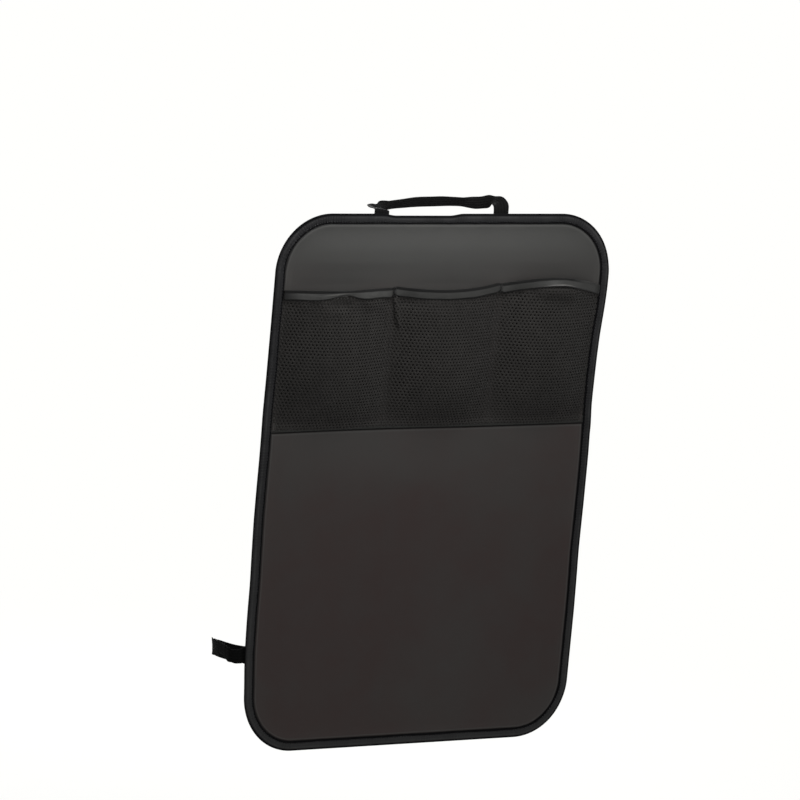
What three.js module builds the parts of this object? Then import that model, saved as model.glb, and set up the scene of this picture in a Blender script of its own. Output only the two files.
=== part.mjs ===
// Car seat back organizer: a flat fabric panel bound with tape, three net pockets under an elastic hem,
// a webbing strap that loops behind the top edge, and a two-part webbing strap that loops behind the
// lower edge and closes with a hook patch on a loop patch.
//
// Millimetres, +Z up. +X is to the right of someone looking at the pockets, and +Y points away from them.
// The origin is the middle of the panel's back face, so the pockets are at negative Y.

import * as THREE from "three";

// Panel and its binding tape.
const panelWidth = 450;
const panelHeight = 650;
const cornerRadius = 70;
const panelThickness = 1.5;
const tapeThickness = 0.8;
const tapeFace = 12;
const sewnGap = 0.3; // clearance between two layers that are sewn together
const cornerSteps = 8;

// Pockets: one net, sewn down along its base, its sides and two dividers.
const netThickness = 0.8;
const pocketBaseDrop = 259; // from the panel's top edge to the net's lower edge
const baseHem = 8;
const dividerSpacing = 144;
const dividerShift = 7;
const dividerWidth = 7;
const sideTuck = 4; // how far the net's sides run in under the tape
const pocketBelly = 20;
const pocketMouth = 14;
const bellyHeight = 0.45; // share of the net's height at which it stands furthest out
// From the panel's top edge down to the hem: at each pocket's left seam, middle and right seam.
const mouthDrops = [
  [90.5, 89, 88],
  [86.5, 88.5, 83],
  [82, 73.5, 84],
];

// Net: rows of hexagonal holes, each row half a hole along from the row below.
const holesAcross = 8;
const holeRows = 5;
const holeShare = 0.66; // size of a hole against its cell
const hexPoint = 3; // how far a cell's upper and lower points stand out

// Elastic hem, folded over the net's upper edge.
const hemHeight = 10;
const hemThickness = 0.6;
const hemCover = 2; // plain net below the folded hem
const tuckDrop = 5; // from there down to the top of the net's side tucks

// Straps.
const strapWidth = 20;
const strapThickness = 1.2;
const sewnLength = 17; // length of strap sewn to the panel inside the tape
const tapeStep = 3; // length over which a strap steps up onto the tape
const topStrapSpan = 162;
const topStrapShift = -7;
const topLoopDepth = 59;
const topLoopWidth = 140;
const lowerStrapDrop = 530.5;
const lowerLoopDepth = 97;
const lowerLoopOutset = 16; // how far the lower loop stands out past the panel's sides
const lowerLoopRise = 1; // how far the loop's sides lie above its sewn ends
const lowerLoopSag = 30; // how far its rear run lies below them
const rearBend = { along: 110, deep: 55 }; // size of the loop's two rear bends
// Where each half of the lower strap leaves the panel: how far in from the side, and over what depth it
// swings out to the loop's full width.
const leftTurn = { inset: 0, depth: 14 };
const rightTurn = { inset: 9, depth: 42 };
const patchLength = 60;
const patchMargin = 2;
const patchThickness = 1;
const tailLength = 12; // plain strap past each patch
const strapSteps = 44;

// What follows from them.
const halfWidth = panelWidth / 2;
const halfHeight = panelHeight / 2;
const frontInner = -(panelThickness + 2 * sewnGap + netThickness);
const frontOuter = frontInner - tapeThickness;
const backInner = sewnGap;
const backOuter = backInner + tapeThickness;
const foldRadius = (backOuter - frontOuter) / 2;
const openHalfWidth = halfWidth - tapeFace;
const netHalfWidth = openHalfWidth - sewnGap;
const pocketBase = halfHeight - pocketBaseDrop;

const colours = {
  fabric: 0x3a3735,
  tape: 0x26262a,
  net: 0x1c1c1b,
  elastic: 0x3c3c3b,
  webbing: 0x141515,
  patch: 0x191919,
};

function cloth(colour, roughness) {
  return new THREE.MeshStandardMaterial({ color: colour, roughness, metalness: 0 });
}

const materials = {
  fabric: cloth(colours.fabric, 0.7),
  tape: cloth(colours.tape, 0.75),
  net: cloth(colours.net, 0.85),
  elastic: cloth(colours.elastic, 0.55),
  webbing: cloth(colours.webbing, 0.7),
  patch: cloth(colours.patch, 0.95),
};

function piece(name, geometry, material) {
  const mesh = new THREE.Mesh(geometry, material);
  mesh.name = name;
  return mesh;
}

// An indexed solid with its faces turned outwards.
function solid(vertices, triangles) {
  let volume = 0;
  for (const [a, b, c] of triangles) volume += vertices[a].dot(vertices[b].clone().cross(vertices[c]));
  const index = volume < 0 ? triangles.map(([a, b, c]) => [a, c, b]) : triangles;
  const geometry = new THREE.BufferGeometry().setFromPoints(vertices);
  geometry.setIndex(index.flat());
  geometry.computeVertexNormals();
  return geometry;
}

// A solid from rings of points that all have the profile's point order: joined end to end, or capped.
function loft(rings, profile, isLoop) {
  const count = profile.length;
  const triangles = [];
  const last = isLoop ? rings.length : rings.length - 1;
  for (let r = 0; r < last; r++) {
    const here = r * count;
    const next = ((r + 1) % rings.length) * count;
    for (let p = 0; p < count; p++) {
      const q = (p + 1) % count;
      triangles.push([here + p, here + q, next + q], [here + p, next + q, next + p]);
    }
  }
  if (!isLoop) {
    const end = (rings.length - 1) * count;
    for (const [a, b, c] of THREE.ShapeUtils.triangulateShape(profile, [])) {
      triangles.push([a, c, b], [end + a, end + b, end + c]);
    }
  }
  return solid(rings.flat(), triangles);
}

// A sheet of polygons made solid: a front copy, a back copy, and a wall along every open edge.
function thickSheet(front, back, polygons) {
  const offset = front.length;
  const triangles = [];
  const edges = new Map();
  for (const polygon of polygons) {
    for (let i = 1; i + 1 < polygon.length; i++) {
      const [a, b, c] = [polygon[0], polygon[i], polygon[i + 1]];
      triangles.push([a, b, c], [offset + a, offset + c, offset + b]);
    }
    polygon.forEach((a, i) => {
      const b = polygon[(i + 1) % polygon.length];
      if (!edges.delete(`${b},${a}`)) edges.set(`${a},${b}`, [a, b]);
    });
  }
  for (const [a, b] of edges.values()) {
    triangles.push([a, offset + a, offset + b], [a, offset + b, b]);
  }
  return solid([...front, ...back], triangles);
}

// A rounded rectangle in X and Z, anticlockwise, with the outward direction at each point.
function roundedOutline(halfX, halfZ, radius) {
  const stations = [];
  for (let corner = 0; corner < 4; corner++) {
    const start = (corner * Math.PI) / 2;
    const signX = corner === 0 || corner === 3 ? 1 : -1;
    const signZ = corner < 2 ? 1 : -1;
    for (let step = 0; step <= cornerSteps; step++) {
      const angle = start + (step * Math.PI) / 2 / cornerSteps;
      const out = new THREE.Vector2(Math.cos(angle), Math.sin(angle));
      const x = signX * (halfX - radius) + radius * out.x;
      const z = signZ * (halfZ - radius) + radius * out.y;
      stations.push({ x, z, out });
    }
  }
  return stations;
}

// The fabric panel: a thin rounded rectangle whose middle faces are plain rectangles.
function panelGeometry() {
  const inset = foldRadius;
  const outline = roundedOutline(halfWidth - inset, halfHeight - inset, cornerRadius - inset);
  const contour = outline.map(({ x, z }) => new THREE.Vector2(x, z));
  const clearX = halfWidth - tapeFace - 1.5 * sewnLength;
  const clearZ = halfHeight - tapeFace - 1.5 * sewnLength;
  const lowerZ = -clearZ + tapeFace;
  const middle = [
    new THREE.Vector2(-clearX, lowerZ),
    new THREE.Vector2(clearX, lowerZ),
    new THREE.Vector2(clearX, clearZ),
    new THREE.Vector2(-clearX, clearZ),
  ];
  const flat = [...contour, ...middle];
  const first = contour.length;
  const polygons = THREE.ShapeUtils.triangulateShape(contour, [middle.slice()]);
  polygons.push([first, first + 1, first + 2], [first, first + 2, first + 3]);
  const front = flat.map((p) => new THREE.Vector3(p.x, -panelThickness, p.y));
  const back = flat.map((p) => new THREE.Vector3(p.x, 0, p.y));
  return thickSheet(front, back, polygons);
}

// The binding tape: a U-shaped fold carried once round the panel's edge.
function bindingGeometry() {
  const middleY = (frontOuter + backOuter) / 2;
  const foldSteps = 6;
  const innerRadius = foldRadius - tapeThickness;
  const profile = [new THREE.Vector2(tapeFace, frontInner), new THREE.Vector2(tapeFace, frontOuter)];
  const arc = (radius, step, sense) => {
    const angle = sense * (-Math.PI / 2 + (step * Math.PI) / foldSteps);
    return new THREE.Vector2(foldRadius - radius * Math.cos(angle), middleY + radius * Math.sin(angle));
  };
  for (let step = 0; step <= foldSteps; step++) profile.push(arc(foldRadius, step, 1));
  profile.push(new THREE.Vector2(tapeFace, backOuter), new THREE.Vector2(tapeFace, backInner));
  for (let step = 0; step <= foldSteps; step += 2) profile.push(arc(innerRadius, step, -1));
  const rings = roundedOutline(halfWidth, halfHeight, cornerRadius).map(({ x, z, out }) =>
    profile.map((p) => new THREE.Vector3(x - p.x * out.x, p.y, z - p.x * out.y)),
  );
  return loft(rings, profile, true);
}

// The three pockets' own stretches of the net, from left to right, between the sewn strips.
const dividers = [dividerShift - dividerSpacing / 2, dividerShift + dividerSpacing / 2];
const pockets = [
  { left: -netHalfWidth, right: dividers[0] - dividerWidth / 2, drops: mouthDrops[0] },
  { left: dividers[0] + dividerWidth / 2, right: dividers[1] - dividerWidth / 2, drops: mouthDrops[1] },
  { left: dividers[1] + dividerWidth / 2, right: netHalfWidth, drops: mouthDrops[2] },
];

// Height of the hem's fold above the net's lower edge, at a share of the way across a pocket.
function mouthHeight(pocket, share) {
  const [left, middle, right] = pocket.drops;
  const bend = 2 * (left + right - 2 * middle);
  const drop = left + (right - left) * share - bend * share * (1 - share);
  return pocketBaseDrop - drop;
}

// How far the net stands out from its seams, at a share of the way across and up to the tuck line.
function netStandOff(across, up) {
  const rise = 1 - (1 - Math.min(up / bellyHeight, 1)) ** 2;
  const fall = THREE.MathUtils.smoothstep(up, bellyHeight, 1);
  return Math.sin(Math.PI * across) * (pocketBelly * rise + (pocketMouth - pocketBelly) * fall);
}

// How far the net stands out under the folded hem, where the hem's back leg needs room at the seams.
function mouthStandOff(across) {
  const room = sewnGap + hemThickness;
  return room + (pocketMouth - room) * Math.sin(Math.PI * across);
}

// Columns of the net: half a cell apart, with their place across the pocket they belong to.
function netColumns() {
  const columns = [];
  pockets.forEach((pocket, number) => {
    for (let i = 0; i <= 2 * holesAcross; i++) {
      const share = i / (2 * holesAcross);
      const x = THREE.MathUtils.lerp(pocket.left, pocket.right, share);
      columns.push({ x, share, pocket, number, place: i });
    }
  });
  return columns;
}

// A point of the net at a column and a height line. Lines 0 to 1 bound the base hem, the next ones the
// rows of holes, and the last three are the tuck line, the hem line and the upper edge.
const tuckLine = holeRows + 1;
const hemLine = tuckLine + 1;
const topLine = tuckLine + 2;

function netPoint(column, line) {
  const mouth = mouthHeight(column.pocket, column.share);
  const hemZ = mouth - hemHeight - hemCover;
  const tuckZ = hemZ - tuckDrop;
  if (line === topLine) return { x: column.x, z: mouth - sewnGap, out: mouthStandOff(column.share) };
  if (line === hemLine) return { x: column.x, z: hemZ, out: mouthStandOff(column.share) };
  if (line === 0) return { x: column.x, z: 0, out: 0 };
  const row = line - 1;
  const edge = column.place === 0 || column.place === 2 * holesAcross;
  const inner = row > 0 && row < holeRows && !edge;
  const point = (column.place + row) % 2 === 0 ? hexPoint : -hexPoint;
  const z = baseHem + ((tuckZ - baseHem) * row) / holeRows + (inner ? point : 0);
  return { x: column.x, z, out: netStandOff(column.share, z / tuckZ) };
}

function netGeometry() {
  const columns = netColumns();
  const points = [];
  const known = new Map();
  const add = (key, make) => {
    if (!known.has(key)) known.set(key, points.push(make()) - 1);
    return known.get(key);
  };
  const at = (column, line) => add(`${column},${line}`, () => netPoint(columns[column], line));
  const polygons = [];
  const quad = (column, line) =>
    polygons.push([at(column, line), at(column + 1, line), at(column + 1, line + 1), at(column, line + 1)]);

  // A cell with a hole: six quads between its outline and the same outline drawn in.
  const holedCell = (column, line) => {
    const rim = [0, 1, 2].map((i) => at(column + i, line));
    rim.push(...[2, 1, 0].map((i) => at(column + i, line + 1)));
    const mean = (key) => rim.reduce((sum, i) => sum + points[i][key], 0) / rim.length;
    const middle = { x: mean("x"), z: mean("z"), out: mean("out") };
    const hole = rim.map((i) => {
      const drawnIn = (key) => THREE.MathUtils.lerp(middle[key], points[i][key], holeShare);
      return points.push({ x: drawnIn("x"), z: drawnIn("z"), out: drawnIn("out") }) - 1;
    });
    rim.forEach((a, i) => {
      const j = (i + 1) % rim.length;
      polygons.push([a, rim[j], hole[j], hole[i]]);
    });
  };

  for (let column = 0; column + 1 < columns.length; column++) {
    const inPocket = columns[column].number === columns[column + 1].number;
    quad(column, 0);
    quad(column, tuckLine);
    quad(column, hemLine);
    if (inPocket) continue;
    for (let row = 0; row < holeRows; row++) quad(column, row + 1); // a divider's sewn strip
  }
  pockets.forEach((pocket, number) => {
    const first = number * (2 * holesAcross + 1);
    for (let row = 0; row < holeRows; row++) {
      const start = row % 2;
      for (let i = start; i + 2 <= 2 * holesAcross; i += 2) holedCell(first + i, row + 1);
      if (start) {
        quad(first, row + 1);
        quad(first + 2 * holesAcross - 1, row + 1);
      }
    }
  });
  // The side tucks: the net's outermost columns carried on under the tape, up to the tuck line.
  for (const side of [-1, 1]) {
    const edge = side < 0 ? 0 : columns.length - 1;
    for (let line = 0; line < tuckLine; line++) {
      const tucked = (l) => ({ ...points[at(edge, l)], x: side * (netHalfWidth + sideTuck), out: 0 });
      const tuck = (l) => add(`tuck${side},${l}`, () => tucked(l));
      const loop = [at(edge, line), tuck(line), tuck(line + 1), at(edge, line + 1)];
      polygons.push(side < 0 ? loop.reverse() : loop);
    }
  }
  const inner = points.map((p) => new THREE.Vector3(p.x, -sewnGap - p.out, p.z));
  const outer = points.map((p) => new THREE.Vector3(p.x, -sewnGap - p.out - netThickness, p.z));
  return thickSheet(outer, inner, polygons);
}

// The elastic hem: a narrow U folded down over the net's upper edge, following it from side to side.
function hemGeometry() {
  const inside = netThickness / 2 + sewnGap;
  const outside = inside + hemThickness;
  const foldTop = hemThickness;
  const low = foldTop - hemHeight;
  const profile = [
    new THREE.Vector2(outside, low),
    new THREE.Vector2(outside, 0),
    new THREE.Vector2(inside, foldTop),
    new THREE.Vector2(-inside, foldTop),
    new THREE.Vector2(-outside, 0),
    new THREE.Vector2(-outside, low),
    new THREE.Vector2(-inside, low),
    new THREE.Vector2(-inside, 0),
    new THREE.Vector2(inside, 0),
    new THREE.Vector2(inside, low),
  ];
  const rings = netColumns().map((column) => {
    const y = -sewnGap - mouthStandOff(column.share) - netThickness / 2;
    const z = mouthHeight(column.pocket, column.share);
    return profile.map((p) => new THREE.Vector3(column.x, y + p.x, z + p.y));
  });
  return loft(rings, profile, false);
}

// A flat ribbon carried through stations, each with its place and the direction of its width.
function ribbon(stations) {
  const profile = [
    new THREE.Vector2(-strapWidth / 2, -strapThickness / 2),
    new THREE.Vector2(strapWidth / 2, -strapThickness / 2),
    new THREE.Vector2(strapWidth / 2, strapThickness / 2),
    new THREE.Vector2(-strapWidth / 2, strapThickness / 2),
  ];
  const rings = stations.map(({ at, across }, i) => {
    const before = stations[Math.max(i - 1, 0)].at;
    const after = stations[Math.min(i + 1, stations.length - 1)].at;
    const along = after.clone().sub(before).normalize();
    const flat = across.clone().addScaledVector(along, -across.dot(along)).normalize();
    const facing = along.clone().cross(flat);
    return profile.map((p) => at.clone().addScaledVector(flat, p.x).addScaledVector(facing, p.y));
  });
  return loft(rings, profile, false);
}

// Stations along a smooth curve through chosen places, with the width's direction carried along too.
function smoothStations(chosen, steps) {
  const places = chosen.map(([at]) => new THREE.Vector3(...at));
  const route = new THREE.CatmullRomCurve3(places, false, "centripetal");
  const widths = chosen.map(([, across]) => new THREE.Vector3(...across).normalize());
  const stations = [];
  for (let step = 0; step <= steps; step++) {
    const share = step / steps;
    const place = share * (chosen.length - 1);
    const i = Math.min(Math.floor(place), chosen.length - 2);
    const blend = THREE.MathUtils.smoothstep(place - i, 0, 1);
    const across = widths[i].clone().lerp(widths[i + 1], blend).normalize();
    stations.push({ at: route.getPoint(share), across });
  }
  return stations;
}

// Middle of a strap's thickness where it lies on the panel's back, and where it lies on the tape.
const onPanel = sewnGap + strapThickness / 2;
const onTape = backOuter + sewnGap + strapThickness / 2;

// The top strap: sewn to the panel's back at both ends, up over its top edge and round behind it.
// Heights are above the panel's top edge.
function topStrapGeometry() {
  const leg = topStrapSpan / 2;
  const reach = topLoopWidth / 2;
  const depth = topLoopDepth;
  const end = (side) => {
    const across = new THREE.Vector3(side, 0, 0);
    const lay = (y, z) => ({ at: new THREE.Vector3(side * leg, y, z), across });
    return [
      lay(onPanel, -tapeFace - tapeStep - sewnLength),
      lay(onPanel, -tapeFace - tapeStep),
      lay(onTape, -tapeFace - 2 * sewnGap),
      lay(onTape, -tapeFace / 2),
    ];
  };
  const leaning = [0, -0.7, 0.71];
  const chosen = [
    [[-leg, onTape, 0], [-1, 0, 0]],
    [[-leg, onTape + 0.6, 4], [-1, 0, 0]],
    [[-leg + 1, onTape + 7, 7], [-1, 0, 0]],
    [[-leg + 4, 0.35 * depth, 6], [-0.98, 0, -0.1]],
    [[-leg + 8, 0.56 * depth, 4], [-0.9, 0, 0.2]],
    [[1 - reach, 0.74 * depth, 1], [-0.5, -0.3, 0.7]],
    [[11 - reach, 0.88 * depth, 1], [0, -0.6, 0.75]],
    [[22 - reach, 0.96 * depth, 1], leaning],
    [[32 - reach, depth, 1.5], leaning],
    [[48 - reach, depth, 3.5], leaning],
    [[66 - reach, depth, 5.4], leaning],
    [[reach - 47, depth, 6.1], leaning],
    [[reach - 26, depth, 5.9], leaning],
    [[reach - 5, depth, 4.6], leaning],
    [[reach + 7, 0.94 * depth, 5], [0.2, -0.65, 0.65]],
    [[leg + 2, 0.74 * depth, 7.5], [0.5, -0.3, 0.65]],
    [[leg + 4, 0.5 * depth, 10], [0.75, 0, 0.5]],
    [[leg + 4, 0.28 * depth, 10.5], [0.9, 0, 0.35]],
    [[leg + 2, onTape + 5, 9.5], [0.98, 0, 0.1]],
    [[leg + 0.8, onTape + 0.6, 5.5], [1, 0, 0]],
    [[leg, onTape, 0], [1, 0, 0]],
  ];
  // The ribbon's width keeps one sense along the strap, so the left leg's is turned round.
  const left = end(-1);
  const right = end(1).reverse();
  return ribbon([...left, ...smoothStations(chosen, strapSteps + strapSteps / 2), ...right]);
}

// One half of the lower strap, from its sewn end on the panel's back round to the middle of the loop.
// The outer half lies on the inner one, one patch pair further out. Heights are from the sewn ends.
const upright = [0, 0, 1];
const patchPair = 2 * patchThickness + 3 * sewnGap + strapThickness;

function lowerStrapGeometry(side, turn, isOuter) {
  const sewnEdge = openHalfWidth - tapeStep;
  const turnEdge = halfWidth - turn.inset;
  const across = new THREE.Vector3(...upright);
  const lay = (x, y) => ({ at: new THREE.Vector3(side * x, y, 0), across });
  const sewn = [
    lay(sewnEdge - sewnLength, onPanel),
    lay(sewnEdge, onPanel),
    lay(openHalfWidth - 2 * sewnGap, onTape),
    lay(turnEdge - tapeStep, onTape),
  ];
  const outset = halfWidth + lowerLoopOutset;
  const depth = lowerLoopDepth;
  const rise = lowerLoopRise;
  const low = -lowerLoopSag;
  const lap = patchLength / 2 + tailLength;
  const run = isOuter ? depth + patchPair : depth;
  const lean = 0.3; // the strap's upper edge leans out where it runs along the loop's side
  const place = (x, y, z, out = 0) => [[side * x, y, z], [side * out, 0, 1]];
  const swing = (share) => {
    const angle = (share * Math.PI) / 2;
    const x = turnEdge + (outset - turnEdge) * Math.sin(angle);
    return place(x, onTape + turn.depth * (1 - Math.cos(angle)), rise * share, lean * share);
  };
  const bend = (share) => {
    const angle = (share * Math.PI) / 2;
    const x = outset - rearBend.along * (1 - Math.cos(angle));
    const y = depth - rearBend.deep * (1 - Math.sin(angle));
    const fall = THREE.MathUtils.smoothstep(share, 0, 1);
    return place(x, y, THREE.MathUtils.lerp(rise, low, fall), lean * (1 - fall));
  };
  const chosen = [
    ...[0, 0.25, 0.5, 0.75, 1].map(swing),
    ...[0.1, 0.33, 0.67, 1].map(bend),
    place(2 * lap, depth, low),
    place(lap, run, low),
    place(0, run, low),
    place(-lap, run, low),
  ];
  return ribbon([...sewn, ...smoothStations(chosen, strapSteps)]);
}

// The loop patch on the inner half's outer face and the hook patch on the outer half's inner face.
function patchGeometry() {
  return new THREE.BoxGeometry(patchLength, patchThickness, strapWidth - 2 * patchMargin);
}

const organizer = new THREE.Group();
organizer.add(piece("back_panel", panelGeometry(), materials.fabric));
organizer.add(piece("edge_binding", bindingGeometry(), materials.tape));

const pocketGroup = new THREE.Group();
pocketGroup.position.set(0, -panelThickness, pocketBase);
pocketGroup.add(piece("pocket_net", netGeometry(), materials.net));
pocketGroup.add(piece("pocket_hem", hemGeometry(), materials.elastic));
organizer.add(pocketGroup);

const topStrapGroup = new THREE.Group();
topStrapGroup.position.set(topStrapShift, 0, halfHeight);
topStrapGroup.add(piece("top_strap", topStrapGeometry(), materials.webbing));
organizer.add(topStrapGroup);

const lowerStrapGroup = new THREE.Group();
lowerStrapGroup.position.set(0, 0, halfHeight - lowerStrapDrop);
lowerStrapGroup.add(piece("lower_strap_left", lowerStrapGeometry(-1, leftTurn, false), materials.webbing));
lowerStrapGroup.add(piece("lower_strap_right", lowerStrapGeometry(1, rightTurn, true), materials.webbing));
const loopPatch = piece("loop_patch", patchGeometry(), materials.patch);
const innerFace = lowerLoopDepth + strapThickness / 2 + sewnGap + patchThickness / 2;
loopPatch.position.set(0, innerFace, -lowerLoopSag);
const hookPatch = piece("hook_patch", patchGeometry(), materials.patch);
hookPatch.position.set(0, innerFace + patchThickness + sewnGap, -lowerLoopSag);
lowerStrapGroup.add(loopPatch, hookPatch);
organizer.add(lowerStrapGroup);

export default organizer;
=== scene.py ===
"""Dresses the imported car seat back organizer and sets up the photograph's view of it.

Lengths are millimetres in the part's own frame, with X across the panel, Y from its front to its
back and Z up, and the origin in the middle of the panel's back. They become metres in the meshes.
"""

import logging
from dataclasses import dataclass, field
from enum import Enum
from typing import Any, Callable, Sequence

import bmesh
import bpy
import numpy as np
from mathutils import Matrix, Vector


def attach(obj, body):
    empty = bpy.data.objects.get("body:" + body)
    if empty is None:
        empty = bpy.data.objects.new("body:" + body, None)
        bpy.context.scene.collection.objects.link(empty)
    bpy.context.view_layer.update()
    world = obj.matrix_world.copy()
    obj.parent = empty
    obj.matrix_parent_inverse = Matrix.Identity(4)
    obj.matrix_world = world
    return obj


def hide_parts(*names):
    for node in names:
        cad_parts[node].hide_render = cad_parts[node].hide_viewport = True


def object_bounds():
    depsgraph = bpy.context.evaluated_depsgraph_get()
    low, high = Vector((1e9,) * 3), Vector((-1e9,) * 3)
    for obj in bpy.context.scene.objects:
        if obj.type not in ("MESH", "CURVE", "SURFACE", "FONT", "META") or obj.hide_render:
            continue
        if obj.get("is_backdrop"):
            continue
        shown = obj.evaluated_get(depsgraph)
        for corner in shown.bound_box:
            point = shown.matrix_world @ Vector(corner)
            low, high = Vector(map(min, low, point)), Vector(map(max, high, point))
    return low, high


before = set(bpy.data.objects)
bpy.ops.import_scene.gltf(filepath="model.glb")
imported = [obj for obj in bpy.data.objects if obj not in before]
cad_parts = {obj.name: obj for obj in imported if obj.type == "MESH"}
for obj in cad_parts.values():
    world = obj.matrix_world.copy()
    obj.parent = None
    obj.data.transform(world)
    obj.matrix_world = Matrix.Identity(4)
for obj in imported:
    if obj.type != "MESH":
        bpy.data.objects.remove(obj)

LOG = logging.getLogger("organizer")
MM = 0.001
TURN = 2 * np.pi
CAD_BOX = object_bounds()
Array = np.ndarray
Colour = tuple[float, float, float]
Knots = tuple[tuple[float, float], ...]
Bells = tuple[tuple[float, float, float], ...]
Stops = Sequence[tuple[Sequence[float], Sequence[float]]]
RIGHTWARDS, TO_BACK, UPWARDS = np.eye(3)
# Distance between the stations of a strap, in mm
STATION = 0.9
# Display colour of the painted shadow lines along seams and selvedges, and of the painted shade at the
# elastic's ends
PAINTED_SHADE_COLOUR: Colour = (4, 4, 4)


def smoothstep(value: Array, low: float, high: float) -> Array:
    """Rise smoothly from 0 at low to 1 at high, as 3t^2 - 2t^3."""
    share = np.clip((np.asarray(value, float) - low) / (high - low), 0, 1)
    return share * share * (3 - 2 * share)


def bells(value: Array, places: Bells) -> Array:
    """Sum of bells h * exp(-((value - m) / r)^2), each given by its middle m, reach r and height h."""
    return sum(height * np.exp(-(((value - middle) / reach) ** 2)) for middle, reach, height in places)


def ripple(x: Array, z: Array | float, wavelength: float, seed: int, waves: int = 6) -> Array:
    """Sum plane sine waves with seeded directions, phases and wavelengths.

    Args:
        x: First coordinate, in mm.
        z: Second coordinate, in mm.
        wavelength: Typical wavelength, in mm.
        seed: Seed of the random choice.
        waves: Number of waves.

    Returns:
        Heights that mostly lie between -1 and 1.
    """
    chosen = np.random.default_rng(seed)
    angle = chosen.uniform(0, np.pi, waves)
    phase = chosen.uniform(0, TURN, waves)
    length = wavelength * chosen.uniform(0.7, 1.5, waves)
    x, z = np.broadcast_arrays(np.asarray(x, float), np.asarray(z, float))
    run = x[..., None] * np.cos(angle) + z[..., None] * np.sin(angle)
    return np.sin(TURN * run / length + phase).sum(-1) / np.sqrt(2 * waves)


def unit(vectors: Array) -> Array:
    """Scale vectors along the last axis to length 1."""
    return vectors / np.maximum(np.linalg.norm(vectors, axis=-1, keepdims=True), 1e-9)


def distances(path: Array) -> Array:
    """Distance walked along a path up to each of its places."""
    return np.concatenate([[0], np.cumsum(np.linalg.norm(np.diff(path, axis=0), axis=-1))])


def linear(colour: Colour, factor: float = 1.0) -> tuple[float, float, float, float]:
    """Turn a display colour of 0 to 255 into the linear colour of a shader socket, times a factor."""
    red, green, blue = (((c / 255 + 0.055) / 1.055) ** 2.4 if c > 10 else c / 255 / 12.92 for c in colour)
    return (red * factor, green * factor, blue * factor, 1.0)


# Surfaces and meshes


@dataclass
class Surface:
    """Grids of points with their place on the cloth, both in mm.

    Attributes:
        points: Points, of shape (..., rows, columns, 3). Leading axes hold separate copies.
        cloth: Place on the cloth, of shape (..., rows, columns, 2), written as the UV map.
    """

    points: Array
    cloth: Array

    def quads(self) -> Array:
        """Number the quads of every copy of the grid, row by row."""
        rows, columns = self.points.shape[-3:-1]
        index = np.arange(rows * columns).reshape(rows, columns)
        one = np.stack([index[:-1, :-1], index[:-1, 1:], index[1:, 1:], index[1:, :-1]], -1)
        copies = self.points.size // (3 * rows * columns)
        shift = np.arange(copies)[:, None, None] * rows * columns
        return (one.reshape(-1, 4)[None] + shift).reshape(-1, 4)


def volume(points: Array, faces: Array) -> float:
    """Signed volume of a closed mesh of quads: positive where its faces point outwards."""
    a, b, c, d = (points[faces[:, i]] for i in range(4))
    return float(((np.cross(b, c) * a).sum() + (np.cross(c, d) * a).sum()) / 6)


def make_mesh(name: str, points: Array, faces: Array, cloth: Array, weld: bool = True) -> bpy.types.Object:
    """Put arrays into a new mesh object with a UV map in metres and smooth faces.

    Args:
        name: Name of the piece.
        points: Vertices, (n, 3), in mm.
        faces: Quads, (m, 4).
        cloth: Place of each vertex on the cloth, (n, 2), in mm.
        weld: Whether doubled vertices are merged, which closes seams and poles.

    Returns:
        The object, linked into the scene.
    """
    mesh = bpy.data.meshes.new(name)
    mesh.vertices.add(len(points))
    mesh.vertices.foreach_set("co", (points * MM).astype(np.float32).ravel())
    mesh.loops.add(faces.size)
    mesh.loops.foreach_set("vertex_index", faces.astype(np.int32).ravel())
    mesh.polygons.add(len(faces))
    mesh.polygons.foreach_set("loop_start", np.arange(0, faces.size, 4, dtype=np.int32))
    mesh.update(calc_edges=True)
    places = (cloth[faces.ravel()] * MM).astype(np.float32).ravel()
    mesh.uv_layers.new(name="cloth").data.foreach_set("uv", places)
    if weld:
        shape = bmesh.new()
        shape.from_mesh(mesh)
        bmesh.ops.remove_doubles(shape, verts=shape.verts, dist=1e-6)
        shape.to_mesh(mesh)
        shape.free()
    mesh.shade_smooth()
    made = bpy.data.objects.new(name, mesh)
    bpy.context.scene.collection.objects.link(made)
    return made


def open_piece(name: str, surface: Surface) -> bpy.types.Object:
    """Make one piece of a single open grid, whose points are all different."""
    points, cloth = surface.points.reshape(-1, 3), surface.cloth.reshape(-1, 2)
    return make_mesh(name, points, surface.quads(), cloth, weld=False)


def closed_piece(name: str, surfaces: Sequence[Surface]) -> bpy.types.Object:
    """Make one piece of closed surfaces, each turned so that its faces point outwards."""
    points, faces, cloth, start = [], [], [], 0
    for surface in surfaces:
        flat = surface.points.reshape(-1, 3)
        quads = surface.quads()
        if volume(flat, quads) < 0:
            quads = quads[:, ::-1]
        points.append(flat)
        faces.append(quads + start)
        cloth.append(surface.cloth.reshape(-1, 2))
        start += len(flat)
    return make_mesh(name, np.concatenate(points), np.concatenate(faces), np.concatenate(cloth))


def thicken(piece: bpy.types.Object, thickness: float, offset: float) -> None:
    """Give an open piece its thickness, in mm: behind its faces at offset -1, on both sides at 0."""
    wall = piece.modifiers.new("thickness", "SOLIDIFY")
    wall.thickness = thickness * MM
    wall.offset = offset


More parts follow.
